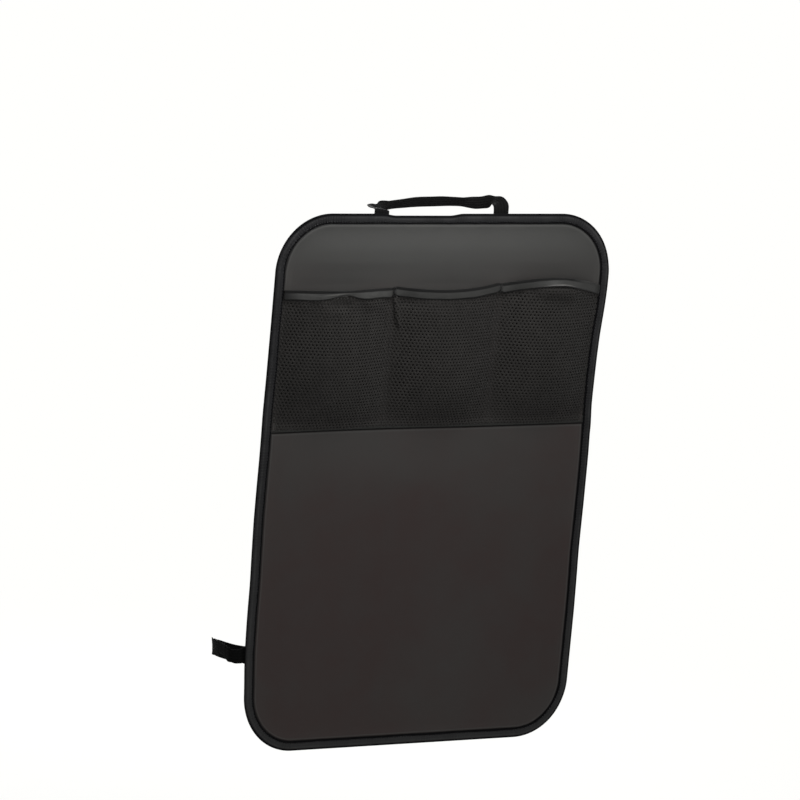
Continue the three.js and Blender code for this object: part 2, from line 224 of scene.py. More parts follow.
def ribbon_profile(width: float, thickness: float, ribs: int, relief: float, points: int = 33) -> Array:
    """Section of a woven strap, closed, with rounded edges and rounded lengthwise ribs.

    The half thickness at a share s of the width is h * (1 - |s|^8)^(1/4) plus the ribs'
    relief * |cos|, so that the faces are nearly flat and the edges are round.

    Args:
        width: Width across the strap, in mm.
        thickness: Thickness, in mm.
        ribs: Number of ribs across the width.
        relief: Height of the ribs, in mm.
        points: Points along each face.

    Returns:
        Points of the section, (2 * points - 1, 2): along the width and through the thickness.
    """
    share = np.sin(np.linspace(-0.5, 0.5, points) * np.pi)
    round_edge = np.clip(1 - np.abs(share) ** 8, 0, 1) ** 0.25
    rib = relief * (np.abs(np.cos(np.pi * ribs * (share + 1) / 2)) - 0.5) * round_edge
    half = (thickness / 2 - relief / 2) * round_edge + rib
    face = np.stack([share * width / 2, half], -1)
    back = np.stack([share[::-1] * width / 2, -half[::-1]], -1)
    return np.concatenate([face, back[1:]])


def carried(path: Array, across: Array, profile: Array, shrink: Array | None = None) -> Surface:
    """Carry a closed section along a path and close both ends.

    Each station's section lies in the plane of the width direction, made square to the path,
    and the direction that is square to both. The end sections shrink to a point.

    Args:
        path: Middle of the section at each station, (n, 3), in mm.
        across: Direction of the section's width, (3,), or one for each station, (n, 3).
        profile: Closed section, (k, 2), its first point repeated at the end.
        shrink: Scale of the section at each station, (n, 2), where it isn't 1.

    Returns:
        The closed surface, with the cloth's place along and round the section.
    """
    along = unit(np.gradient(path, axis=0))
    flat = unit(across - along * (across * along).sum(-1, keepdims=True))
    facing = np.cross(along, flat)
    scale = np.ones((len(path), 2)) if shrink is None else shrink
    section = profile[None] * scale[:, None]
    points = path[:, None] + section[..., :1] * flat[:, None] + section[..., 1:] * facing[:, None]
    ends = [np.repeat(end[:, None], len(profile), 1) for end in (path[:1], path[-1:])]
    run = distances(path)
    run = np.concatenate([run[:1], run, run[-1:]])
    cloth = np.stack(np.broadcast_arrays(run[:, None], profile[None, :, 0]), -1)
    return Surface(np.concatenate([ends[0], points, ends[1]]), cloth)


def smooth_route(chosen: Stops, steps: int) -> tuple[Array, Array]:
    """Centripetal Catmull-Rom curve through chosen places, with a width direction carried along.

    Each span is the cubic whose end tangents come from the neighbouring places, with the square
    root of their distances as the knots' spacing. The width direction blends smoothly.

    Args:
        chosen: Places, each with its width direction.
        steps: Number of steps along the whole curve.

    Returns:
        Points, (steps + 1, 3), and width directions, (steps + 1, 3).
    """
    places = np.array([place for place, _ in chosen], float)
    widths = unit(np.array([width for _, width in chosen], float))
    padded = np.concatenate([2 * places[:1] - places[1:2], places, 2 * places[-1:] - places[-2:-1]])
    spot = np.linspace(0, len(places) - 1, steps + 1)
    span = np.minimum(spot.astype(int), len(places) - 2)
    t = (spot - span)[:, None]
    p0, p1, p2, p3 = (padded[span + i] for i in range(4))
    pairs = ((p0, p1), (p1, p2), (p2, p3))
    d0, d1, d2 = (np.sqrt(np.linalg.norm(b - a, axis=-1))[:, None] for a, b in pairs)
    start = ((p1 - p0) / d0 - (p2 - p0) / (d0 + d1) + (p2 - p1) / d1) * d1
    end = ((p2 - p1) / d1 - (p3 - p1) / (d1 + d2) + (p3 - p2) / d2) * d1
    square, cube = 3 * (p2 - p1) - 2 * start - end, 2 * (p1 - p2) + start + end
    blend = smoothstep(t, 0, 1)
    directions = unit(widths[span] * (1 - blend) + widths[span + 1] * blend)
    return p1 + start * t + square * t**2 + cube * t**3, directions


def evened(path: Array, across: Array, reach: int = 3) -> tuple[Array, Array]:
    """Space stations evenly along a route and round its kinks.

    Args:
        path: Places along the route, (n, 3), in mm.
        across: Width directions, (n, 3).
        reach: Number of stations on each side over which a kink is rounded.

    Returns:
        The new places and width directions. The ends stay where they were.
    """
    run = distances(path)
    even = np.linspace(0, run[-1], max(int(run[-1] / STATION), 8) + 1)
    both = np.concatenate([path, across], 1)
    both = np.stack([np.interp(even, run, column) for column in both.T], -1)
    weight = np.hanning(2 * reach + 3)[1:-1]
    weight /= weight.sum()
    held = np.concatenate([2 * both[:1] - both[reach:0:-1], both, 2 * both[-1:] - both[-2 : -reach - 2 : -1]])
    both = np.stack([np.convolve(column, weight, "valid") for column in held.T], -1)
    return both[:, :3], unit(both[:, 3:])


def stitches(
    path: Array, facing: Array, length: float, gap: float, radius: float, lift: float = 0.1
) -> Surface:
    """Rows of sewn thread: short closed tubes along a path, each arched a little off the cloth.

    A stitch runs straight between two places of the path. Its radius is r * sin(pi t)^0.35 and
    its middle stands off by lift * sin(pi t), with t from 0 to 1 along it.

    Args:
        path: Line that the thread follows on the cloth, (n, 3), in mm.
        facing: Outward direction of the cloth, (3,).
        length: Length of a stitch, in mm.
        gap: Distance between one stitch's end and the next one's start, in mm.
        radius: Radius of the thread, in mm.
        lift: Height of the arch above the thread's own radius, in mm.

    Returns:
        One surface that holds every stitch.
    """
    run = distances(path)
    count = max(int((run[-1] + gap) / (length + gap)), 1)
    pitch = (run[-1] + gap) / count
    begin = np.arange(count) * pitch

    def at(where: Array) -> Array:
        """Places at distances along the path."""
        return np.stack([np.interp(where, run, column) for column in path.T], -1)

    first, last = at(begin), at(begin + pitch - gap)
    up = np.broadcast_to(facing, first.shape)
    side = unit(np.cross(last - first, up))
    t = np.array([0, 0.12, 0.35, 0.65, 0.88, 1.0])
    turn = np.linspace(0, TURN, 7)
    arch = np.sin(np.pi * t)
    thick = radius * np.clip(arch, 0, 1) ** 0.35
    middle = first[:, None] * (1 - t)[:, None] + last[:, None] * t[:, None]
    middle = middle + up[:, None] * (lift * arch)[:, None]
    ring = side[:, None, None] * np.cos(turn)[:, None] + up[:, None, None] * np.sin(turn)[:, None]
    points = middle[:, :, None] + ring * thick[:, None, None]
    along = np.broadcast_to((begin[:, None, None] + t[:, None] * length), points.shape[:-1])
    return Surface(points, np.stack([along, np.broadcast_to(turn * radius, points.shape[:-1])], -1))


# Shaders


class Value:
    """A number in a shader tree that can be used in Python arithmetic."""

    def __init__(self, shader: "Shader", socket: bpy.types.NodeSocket) -> None:
        """Wrap an output socket of a shader's node."""
        self.shader = shader
        self.socket = socket

    def math(self, operation: str, *others: "Value | float", clamp: bool = False) -> "Value":
        """Add a Math node whose first value is this one."""
        settings = {"operation": operation, "use_clamp": clamp}
        node = self.shader.node("ShaderNodeMath", settings, dict(enumerate((self, *others))))
        return Value(self.shader, node.outputs[0])

    def __add__(self, other: "Value | float") -> "Value":
        """Add."""
        return self.math("ADD", other)

    __radd__ = __add__

    def __mul__(self, other: "Value | float") -> "Value":
        """Multiply."""
        return self.math("MULTIPLY", other)

    __rmul__ = __mul__

    def __sub__(self, other: "Value | float") -> "Value":
        """Subtract."""
        return self.math("SUBTRACT", other)

    def __rsub__(self, other: float) -> "Value":
        """Subtract from a number."""
        return (self * -1.0).math("ADD", other)

    def __truediv__(self, other: "Value | float") -> "Value":
        """Divide."""
        return self.math("DIVIDE", other)

    def most(self, other: "Value | float") -> "Value":
        """The larger of two values."""
        return self.math("MAXIMUM", other)

    def size(self) -> "Value":
        """Absolute value."""
        return self.math("ABSOLUTE")

    def held(self) -> "Value":
        """The value kept between 0 and 1."""
        return self.math("ADD", 0.0, clamp=True)

    def power(self, exponent: float) -> "Value":
        """The value to a power."""
        return self.math("POWER", exponent)

    def wave(self, length: float) -> "Value":
        """Sine wave between -1 and 1 of a value in metres, with its length in mm."""
        return (self * (TURN / (length * MM))).math("SINE")

    def cycle(self, length: float) -> "Value":
        """Sine wave between 0 and 1 of a value in metres, with its length in mm."""
        return self.wave(length) * 0.5 + 0.5

    def ramp(self, low: float, width: float) -> "Value":
        """Straight rise of a value in metres, from 0 at low to 1 a width further on, both in mm."""
        return ((self - low * MM) / (width * MM)).held()

    def peak(self, middle: float, half: float) -> "Value":
        """Tent over a value in metres: 1 at the middle and 0 from half its width on, both in mm."""
        return 1.0 - (self - middle * MM).size().ramp(0.0, half)

    def rise(self, low: float, high: float) -> "Value":
        """Smooth step from 0 at low to 1 at high, in the value's own unit."""
        inputs = {"Value": self, "From Min": low, "From Max": high}
        node = self.shader.node("ShaderNodeMapRange", {"interpolation_type": "SMOOTHSTEP"}, inputs)
        return Value(self.shader, node.outputs[0])


class Shader:
    """The node tree of one material, or of the world."""

    def __init__(self, name: str, store: Any = None) -> None:
        """Start an empty material of this name, or an empty world in bpy.data.worlds."""
        self.owner = (bpy.data.materials if store is None else store).new(name)
        self.owner.use_nodes = True
        self.tree = self.owner.node_tree
        self.tree.nodes.clear()

    def node(self, kind: str, settings: dict[str, Any] | None = None, inputs: Any = None) -> bpy.types.Node:
        """Add a node.

        Args:
            kind: Blender's name of the node type.
            settings: The node's settings, such as a Math node's operation, or a ramp's stops.
            inputs: Dictionary of the values or links of its sockets, by name or number.

        Returns:
            The new node.
        """
        made = self.tree.nodes.new(kind)
        for key, value in (settings or {}).items():
            setattr(made, key, value)
        for key, value in (inputs or {}).items():
            socket = value.socket if isinstance(value, Value) else value
            if isinstance(socket, bpy.types.NodeSocket):
                self.tree.links.new(socket, made.inputs[key])
            else:
                made.inputs[key].default_value = socket
        return made

    def place(self) -> bpy.types.NodeSocket:
        """The point in the part's own frame, in metres."""
        return self.node("ShaderNodeTexCoord").outputs["Object"]

    def cloth(self) -> bpy.types.NodeSocket:
        """The place on the cloth from the UV map, in metres."""
        return self.node("ShaderNodeUVMap", {"uv_map": "cloth"}).outputs[0]

    def parts(self, vector: bpy.types.NodeSocket) -> tuple[Value, ...]:
        """Split a vector into three numbers."""
        split = self.node("ShaderNodeSeparateXYZ", inputs={0: vector})
        return tuple(Value(self, split.outputs[i]) for i in range(3))

    def noise(self, vector: bpy.types.NodeSocket, scale: float, detail: float = 2.0) -> Value:
        """Smooth noise between about 0 and 1, with its scale per metre."""
        made = self.node("ShaderNodeTexNoise", inputs={"Vector": vector, "Scale": scale, "Detail": detail})
        return Value(self, made.outputs[0])

    def stretched(self, vector: bpy.types.NodeSocket, along: float, over: float) -> bpy.types.NodeSocket:
        """Scale the first two parts of a place."""
        inputs = {"Vector": vector, "Scale": (along, over, 1.0)}
        return self.node("ShaderNodeMapping", inputs=inputs).outputs[0]

    def blend(self, factor: Value, first: Any, second: Any) -> bpy.types.NodeSocket:
        """Mix two colours by a number between 0 and 1."""
        mixed = self.node("ShaderNodeMix", {"data_type": "RGBA"}, {0: factor, 6: first, 7: second})
        return mixed.outputs[2]

    def bump(
        self, height: Value, distance: float, strength: float, under: bpy.types.NodeSocket | None = None
    ) -> bpy.types.NodeSocket:
        """Turn a height of 0 to 1 into a normal, with the height of 1 given in mm."""
        inputs: dict[str, Any] = {"Height": height, "Distance": distance * MM, "Strength": strength}
        if under is not None:
            inputs["Normal"] = under
        return self.node("ShaderNodeBump", inputs=inputs).outputs[0]

    def surface(self, kind: str, inputs: dict[str, Any]) -> bpy.types.NodeSocket:
        """Add a shader node of this kind."""
        return self.node(f"ShaderNode{kind}", inputs=inputs).outputs[0]

    def close(self, output: str, surface: bpy.types.NodeSocket) -> Any:
        """Link a surface to the tree's output node and return what the tree belongs to."""
        self.node(f"ShaderNodeOutput{output}", inputs={"Surface": surface})
        return self.owner

    def finish(
        self, tint: Any, roughness: Any, gloss: float, normal: Any, sheen: tuple[float, float] = (0.0, 0.5)
    ) -> bpy.types.Material:
        """Close the tree with a Principled shader.

        Args:
            tint: Base colour.
            roughness: Roughness, a number or a value.
            gloss: Specular level.
            normal: Normal.
            sheen: Weight and roughness of the sheen.

        Returns:
            The material.
        """
        sockets = {"Base Color": tint, "Roughness": roughness, "Specular IOR Level": gloss, "Normal": normal}
        sockets |= {"Sheen Weight": sheen[0], "Sheen Roughness": sheen[1]}
        return self.close("Material", self.surface("BsdfPrincipled", sockets))

    def seen(self) -> Value:
        """One for a ray from the camera, off a gloss or through glass, and nought for any other."""
        outputs = self.node("ShaderNodeLightPath").outputs
        camera, glossy, through = (
            Value(self, outputs[f"Is {kind} Ray"]) for kind in ("Camera", "Glossy", "Transmission")
        )
        return camera.most(glossy).most(through)


@dataclass(frozen=True)
class CoatedCloth:
    """Plain weave under a thin satin coat, as on the panel.

    Attributes:
        colour: Display colour of the cloth.
        warm: Display colour of the broad warmer patches.
        pitch: Distance between threads, in mm.
        tape: Width of the tape that covers the edge, in mm.
        shadow_line: Height of the net's base seam, which presses into the cloth, and of the painted shadow
            line along it, in mm.
    """

    colour: Colour = (48, 48, 47)
    warm: Colour = (46, 38, 37)
    pitch: float = 0.55
    tape: float = 12.0
    shadow_line: float = 65.0

    def inset(self, x: Value, z: Value) -> Value:
        """Distance in from the rounded outline, in metres, by the same formula as the outline's."""
        over_x = x.size() - (OUTLINE.half_width - OUTLINE.radius) * MM
        over_z = z.size() - (OUTLINE.half_height - OUTLINE.radius) * MM
        wide, tall = over_x.most(0.0), over_z.most(0.0)
        outside = (wide * wide + tall * tall).power(0.5)
        return OUTLINE.radius * MM - outside - over_x.most(over_z).math("MINIMUM", 0.0)

    def build(self) -> bpy.types.Material:
        """Make the material: weave bump, warm patches, specks, the line rubbed along the seam with a painted
        highlight on its roll, and painted shadow lines along the seams.
        """
        shader = Shader("panel_fabric")
        place = shader.place()
        x, z, _ = shader.parts(shader.cloth())
        weave = (x.wave(2 * self.pitch) * z.wave(2 * self.pitch)) * 0.5 + 0.5
        # Patches as broad as a hand, smudges of a few centimetres and specks finer than a millimetre
        broad, slow = shader.noise(place, 4.5, 3.0), shader.noise(place, 30.0, 3.0)
        specks = shader.noise(place, 900.0, 1.0)
        warmth = broad.rise(0.35, 0.65) * 0.6 * (1.0 - z.rise(0.2, 0.3)) + (1.0 - z.rise(-0.1, 0.25)) * 0.5
        tint = shader.blend(warmth.held(), linear(self.colour), linear(self.warm))
        shade = (specks * 0.35 + weave * 0.15 + slow * 0.5).rise(0.2, 0.8)
        tint = shader.blend((1.0 - shade) * 0.5, tint, linear(self.colour, 0.88))
        # Worn lighter beside the tape, a painted highlight on the roll along it but not where the net covers
        # it, and a thin lighter line below the net's base seam
        seam = self.inset(x, z) - self.tape * MM
        rubbed = (1.0 - seam.ramp(0.0, 14.0)).power(2.0) * 0.2 * slow
        bare = 1.0 - z.rise(0.062, 0.066) * (1.0 - z.rise(0.238, 0.246))
        painted_roll_highlight = seam.peak(2.6, 1.1) * (slow * 0.5 + 0.3) * bare
        below = z.peak(self.shadow_line - 3.1, 1.3) * 0.6
        tint = shader.blend((rubbed + painted_roll_highlight + below).held(), tint, linear(self.colour, 1.4))
        # Painted shadow lines along the tape's inner edge and along the net's base seam, where it presses in
        press = 1.0 - (z - (self.shadow_line - 0.6) * MM).size().ramp(0.68, 0.8)
        line = (1.0 - seam.ramp(0.375, 1.5)).most(press) * 0.95
        tint = shader.blend(line, tint, linear(PAINTED_SHADE_COLOUR))
        normal = shader.bump(slow, 0.5, 0.18, shader.bump(weave, 0.05, 0.5))
        return shader.finish(tint, slow * 0.16 + 0.5, 0.06, normal, (0.03, 0.45))


@dataclass(frozen=True)
class WovenTape:
    """Folded edge tape with fine ribs across its width.

    Attributes:
        colour: Display colour of the tape.
        wear_and_highlight: Display colour of the rubbed fold with its painted highlight, and of the lighter
            part low down.
        shadow: Display colour of the painted shade in the coarse ribs' grooves, round the top and beside the
            upper left edge.
        rib: Distance between the ribs, in mm.
        coarse: Distance between the coarse ribs, in mm.
        twill: Distance between the twill's slanted lines, in mm.
    """

    colour: Colour = (34, 34, 35)
    wear_and_highlight: Colour = (46, 46, 46)
    shadow: Colour = (18, 18, 19)
    rib: float = 0.75
    coarse: float = 3.6
    twill: float = 0.42

    def build(self) -> bpy.types.Material:
        """Make the material: ribs across, a fine twill over them, a rubbed outer fold with a painted
        highlight, painted shade in places and painted shadow lines along the edges.
        """
        shader = Shader("edge_tape")
        along, over, _ = shader.parts(shader.cloth())
        x, _, z = shader.parts(shader.place())
        ribs, twill = along.cycle(self.rib), (along + over).cycle(self.twill)
        dust = shader.noise(shader.place(), 260.0, 3.0)
        # Painted shade of small gathers: darker streaks across the tape
        painted_gather_shade = shader.noise(shader.stretched(shader.cloth(), 1.0, 0.12), 170.0).rise(0.42, 0.62)
        mottled = (ribs * 0.5 + twill * 0.2 + dust * 0.5).rise(0.2, 1.0) * 0.6
        tint = shader.blend(mottled, linear(self.colour, 0.72), linear(self.colour))
        tint = shader.blend(painted_gather_shade * 0.5, tint, linear(self.colour, 0.6))
        # Rubbed beside the outer fold, with a painted highlight there
        fold = over.size().peak(4.4, 1.6)
        tint = shader.blend((fold * dust * 1.4).held(), tint, linear(self.wear_and_highlight))
        # Painted shade in coarse ribs in places, round the top and beside the upper left edge; lighter low
        # down
        coarse = along.cycle(self.coarse) * shader.noise(shader.cloth(), 30.0).rise(0.42, 0.6)
        shade = z.rise(0.3, 0.315) * 0.3 + z.rise(0.08, 0.2) * (1.0 - x.rise(-0.219, -0.2)) * 0.5
        tint = shader.blend((coarse * 0.65 + shade).held(), tint, linear(self.shadow))
        tint = shader.blend((1.0 - z.rise(-0.25, 0.0)) * 0.4, tint, linear(self.wear_and_highlight))
        # Painted shadow lines along the inner edge and the outer fold, the second thinner at the far left
        shadow_line = 1.0 - (over.size() - x.rise(-0.222, -0.195) * (1.1 * MM)).ramp(0.9, 1.2)
        line = over.size().ramp(8.8, 0.8).most(shadow_line) * 0.97
        tint = shader.blend(line, tint, linear((3, 3, 4)))
        normal = shader.bump(twill, 0.05, 0.5, shader.bump(ribs, 0.16, 0.8))
        return shader.finish(tint, (dust * 0.2 + 0.5 + line * 0.4).held(), 0.05, normal, (0.02, 0.4))


@dataclass(frozen=True)
class KnittedNet:
    """Black warp-knitted net with fine yarns."""

    colour: Colour = (27, 26, 25)
    yarn: float = 0.34

    def build(self) -> bpy.types.Material:
        """Make the material: fine diagonal yarns, greyer rubbed places and a greyer base hem."""
        shader = Shader("pocket_net_yarn")
        along, over, _ = shader.parts(shader.cloth())
        yarn = ((along + over).wave(self.yarn) * (along - over).wave(self.yarn)) * 0.5 + 0.5
        rubbed = shader.noise(shader.place(), 45.0, 3.0)
        hem = 1.0 - over.rise(0.073, 0.079)
        greyer = (rubbed.rise(0.35, 0.75) * 0.4 + yarn * 0.3 + hem * 0.6).held()
        tint = shader.blend(greyer, linear(self.colour), linear(self.colour, 1.7))
        return shader.finish(tint, rubbed * 0.2 + 0.5, 0.06, shader.bump(yarn, 0.09, 0.8), (0.02, 0.4))


@dataclass(frozen=True)
class SatinElastic:
    """Shiny elastic ribbon with fine ribs across it, as folded over the pockets' edge.

    Attributes:
        colour: Display colour of the ribbon.
        left: Display colour of the painted sheen on its lighter left stretch.
        tip: Display colour of the painted shade at its left end.
        painted_dull: Display colour of the painted duller sheen at the second divider.
        painted_glint: Display colour of the two painted highlights.
        painted_glints: Middle and reach along the ribbon, and level and half width over it, of each painted
            highlight, in mm.
        rib: Distance between the cross ribs, in mm.
        cord: Distance between the elastic's cords, in mm.
    """

    colour: Colour = (41, 41, 40)
    left: Colour = (50, 50, 49)
    tip: Colour = (20, 20, 20)
    painted_dull: Colour = (30, 30, 29)
    painted_glint: Colour = (98, 97, 95)
    painted_glints: tuple[tuple[float, float, float, float], ...] = ((152, 24, 7.5, 0.9), (-148, 20, 4.2, 1.2))
    rib: float = 0.9
    cord: float = 1.3

    def build(self) -> bpy.types.Material:
        """Make the material: cross ribs, painted shadow lines along the selvedges, painted sheen and shade
        along it, uneven gloss and two painted highlights.
        """
        shader = Shader("satin_elastic")
        along, over, _ = shader.parts(shader.cloth())
        ribs, cords = along.cycle(self.rib), over.cycle(self.cord)
        patchy = shader.noise(shader.stretched(shader.cloth(), 1.0, 4.0), 60.0, 3.0)
        # Painted shadow lines above and below, which fade towards the right, and painted shade at the sewn
        # ends
        lines = over.ramp(-2.5, 0.6).most((over * -1.0).ramp(8.0, 0.6))
        faded = lines * (1.0 - along.rise(0.165, 0.19) * 0.75)
        painted_shade_lines = faded.most(along.size().ramp(203.0, 9.0) * 0.7)
        # Painted sheen and shade along the ribbon: painted shade at the tip, a lighter left stretch, duller
        # at the second divider
        light = shader.blend(along.rise(-0.08, -0.05), linear(self.left), linear(self.colour))
        painted_dull = along.rise(0.05, 0.1) * (1.0 - along.rise(0.12, 0.145))
        light = shader.blend(painted_dull, light, linear(self.painted_dull))
        light = shader.blend(along.rise(-0.206, -0.19), linear(self.tip), light)
        mottled = (ribs * 0.25 + cords * 0.2 + patchy * 0.6).rise(0.15, 0.85)
        tint = shader.blend(mottled, linear(self.colour, 0.55), light)
        # Two painted highlights on the ribbon
        for middle, reach, level, half in self.painted_glints:
            painted_glint = along.peak(middle, reach) * over.peak(-level, half)
            tint = shader.blend(painted_glint * 0.7, tint, linear(self.painted_glint))
        tint = shader.blend(painted_shade_lines * 0.97, tint, linear(PAINTED_SHADE_COLOUR))
        normal = shader.bump(cords, 0.1, 0.5, shader.bump(ribs, 0.12, 0.7))
        return shader.finish(tint, (patchy * 0.2 + 0.3 + painted_shade_lines * 0.5).held(), 0.14, normal, (0.04, 0.35))


@dataclass(frozen=True)
class Webbing:
    """Black strap webbing: broad lengthwise ribs of fine slanted yarns, with painted shade in the grooves and
    near the panel, greyer further back.

    Attributes:
        colour: Display colour from which the painted shade in the grooves is darkened.
        painted_shade_near_panel: Display colour of the ribs near the panel, darkened as painted shade.
        rubbed: Display colour of the ribs further back.
        rib: Distance between the ribs, in mm.
        yarn: Distance between the yarns, in mm.
        slant: Distance between a yarn's slanted turns, in mm.
    """

    colour: Colour = (12, 12, 12)
    painted_shade_near_panel: Colour = (10, 10, 10)
    rubbed: Colour = (25, 25, 25)
    rib: float = 4.0
    yarn: float = 1.0
    slant: float = 0.95

    def build(self) -> bpy.types.Material:
        """Make the material: ribs with painted shade in their grooves, painted shade near the panel, fine
        slanted yarns and fuzzed edges.
        """
        shader = Shader("strap_webbing")
        along, over, _ = shader.parts(shader.cloth())
        rib, fine = over.wave(2 * self.rib).size(), over.wave(2 * self.yarn).size()
        zigzag = (over / (self.yarn * MM)).math("PINGPONG", 1.0) * (0.9 * MM)
        slant = (along + zigzag).cycle(self.slant)
        fuzz = shader.noise(shader.place(), 700.0, 2.0)
        height = rib.power(0.5) * 0.6 + fine.power(0.7) * 0.25 + slant * 0.15
        # Painted shade on the part near the panel, greyer further back
        behind = shader.parts(shader.place())[1].rise(0.02, 0.055)
        light = shader.blend(behind, linear(self.painted_shade_near_panel), linear(self.rubbed))
        # Painted shade in the grooves between the ribs
        raised = (height.rise(0.3, 1.0) * 0.8 + fuzz * 0.25).held()
        tint = shader.blend(raised, linear(self.colour, 0.25), light)
        tint = shader.blend(over.size().ramp(8.8, 1.2) * fuzz * 0.4, tint, linear((24, 24, 26)))
        return shader.finish(tint, fuzz * 0.2 + 0.7, 0.03, shader.bump(height, 0.4, 0.9), (0.01, 0.35))


@dataclass(frozen=True)
class Thread:
    """Twisted sewing thread."""

    colour: Colour = (27, 27, 29)
    ply: float = 0.55

    def build(self) -> bpy.types.Material:
        """Make the material: two plies that turn round the thread."""
        shader = Shader("sewing_thread")
        along, over, _ = shader.parts(shader.cloth())
        plies = (along + over * 0.8).cycle(self.ply)
        tint = shader.blend(plies, linear(self.colour, 0.5), linear(self.colour))
        return shader.finish(tint, 0.45, 0.3, shader.bump(plies, 0.08, 0.7))


class PileKind(Enum):
    """The two faces of the strap's closure."""

    LOOPS = "loops"
    HOOKS = "hooks"


@dataclass(frozen=True)
class ClosureTape:
    """Hook or loop tape of the strap's closure, with its rows of hooks 1.2 by 1.5 mm apart."""

    kind: PileKind
    colour: Colour = (30, 30, 31)
    hooks: tuple[float, float] = (1.2, 1.5)

    def build(self) -> bpy.types.Material:
        """Make the material: matted loops, or rows of small hooks."""
        shader = Shader(f"closure_{self.kind.value}")
        place = shader.place()
        if self.kind is PileKind.LOOPS:
            pile, depth, roughness = shader.noise(place, 1500.0, 4.0), 0.5, 0.75
        else:
            x, _, z = shader.parts(place)
            pile = x.cycle(self.hooks[0]).power(2.0) * z.cycle(self.hooks[1]).power(2.0)
            depth, roughness = 0.6, 0.4
        tint = shader.blend(pile, linear(self.colour, 0.4), linear(self.colour))
        return shader.finish(tint, roughness, 0.25, shader.bump(pile, depth, 0.9))


@dataclass(frozen=True)
class PaleFloor:
    """Matt pale floor that shows as white and keeps a soft shadow.

    Attributes:
        shown: Share of plain white that a seen ray meets under the part.
        white: Linear colour of the plain white, as in the photograph's background.
        fade: Distances from the part between which that share grows to 1, in metres.
    """

    shown: float = 0.8
    white: tuple[float, float, float, float] = (1.0, 1.0, 0.985, 1.0)
    fade: tuple[float, float] = (0.9, 2.0)

    def build(self) -> bpy.types.Material:
        """Make the material: lit white near the part, and plain white further off.

        A camera, glossy or transmission ray sees the share of plain white that the fields give,
        as a smooth step of the distance. Other rays meet a matt white.
        """
        shader = Shader("pale_floor")
        place = shader.place()
        length = shader.node("ShaderNodeVectorMath", {"operation": "LENGTH"}, {0: place}).outputs["Value"]
        grain = shader.noise(place, 40.0)
        tint = shader.blend(grain, (0.86, 0.86, 0.85, 1.0), (0.9, 0.9, 0.89, 1.0))
        rough = {"Base Color": tint, "Roughness": 0.9, "Specular IOR Level": 0.1}
        matt = shader.surface("BsdfPrincipled", rough)
        plain = shader.surface("Emission", {"Color": self.white, "Strength": 1.0})
        factor = shader.seen() * (Value(shader, length).rise(*self.fade) * (1.0 - self.shown) + self.shown)
        return shader.close("Material", shader.surface("MixShader", {0: factor, 1: matt, 2: plain}))


def dress(piece: bpy.types.Object, finish: Any, replaces: Sequence[str] = ()) -> bpy.types.Object:
    """Settle a piece as the cloth hangs, give it its finish, slot and body, and hide the solids that it
    stands for.

    Args:
        piece: The new piece.
        finish: The finish, with a build method.
        replaces: Names of the solids that the piece stands for.

    Returns:
        The same piece.
    """
    points = np.empty(len(piece.data.vertices) * 3, np.float32)
    piece.data.vertices.foreach_get("co", points)
    points = Hang().settle(points.reshape(-1, 3).astype(float) / MM) * MM
    piece.data.vertices.foreach_set("co", points.astype(np.float32).ravel())
    piece.data.update()
    material = finish.build()
    piece.data.materials.append(material)
    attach(piece, "root")
    if replaces:
        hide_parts(*replaces)
    LOG.info("%s: %d faces, finish %s", piece.name, len(piece.data.polygons), material.name)
    return piece


# The organizer's own sizes and pieces


@dataclass(frozen=True)
class Outline:
    """The panel's rounded outline, taken at the tape's outer fold."""

    half_width: float = 225.0
    half_height: float = 325.0
    radius: float = 70.0

    def inset(self, x: Array, z: Array) -> Array:
        """Distance inwards from the outline, by the rounded rectangle's distance formula."""
        over_x = np.abs(x) - (self.half_width - self.radius)
        over_z = np.abs(z) - (self.half_height - self.radius)
        outside = np.hypot(np.maximum(over_x, 0), np.maximum(over_z, 0))
        return self.radius - outside - np.minimum(np.maximum(over_x, over_z), 0)

    def walk(self, spacing: float) -> tuple[Array, Array, Array]:
        """Walk round the outline, clockwise from the lower left corner's end as seen from the front.

        Straight runs and quarter circles follow one another, in even steps.

        Args:
            spacing: Distance between stations, in mm.

        Returns:
            Places (n, 2), inward directions (n, 2) and distances walked (n,). The last station
            is the first one again.
        """
        w, h, r = self.half_width, self.half_height, self.radius
        x, z = w - r, h - r
        corners = [(-x, z, np.pi), (x, z, np.pi / 2), (x, -z, 0), (-x, -z, -np.pi / 2)]
        runs = [(-w, -z, -w, z), (-x, h, x, h), (w, z, w, -z), (x, -h, -x, -h)]
        places, inward = [], []
        for (x0, z0, x1, z1), (cx, cz, start) in zip(runs, corners):
            length = np.hypot(x1 - x0, z1 - z0)
            t = np.arange(0, 1, spacing / length)[:, None]
            run = np.array([[x0, z0]]) * (1 - t) + np.array([[x1, z1]]) * t
            angle = start - np.arange(0, 1, spacing / (r * np.pi / 2)) * np.pi / 2
            out = np.stack([np.cos(angle), np.sin(angle)], -1)
            places += [run, np.array([[cx, cz]]) + r * out]
            inward += [np.repeat(np.array([[z1 - z0, x0 - x1]]) / length, len(run), 0), -out]
        place = np.concatenate(places + [places[0][:1]])
        return place, np.concatenate(inward + [inward[0][:1]]), distances(place)


OUTLINE = Outline()


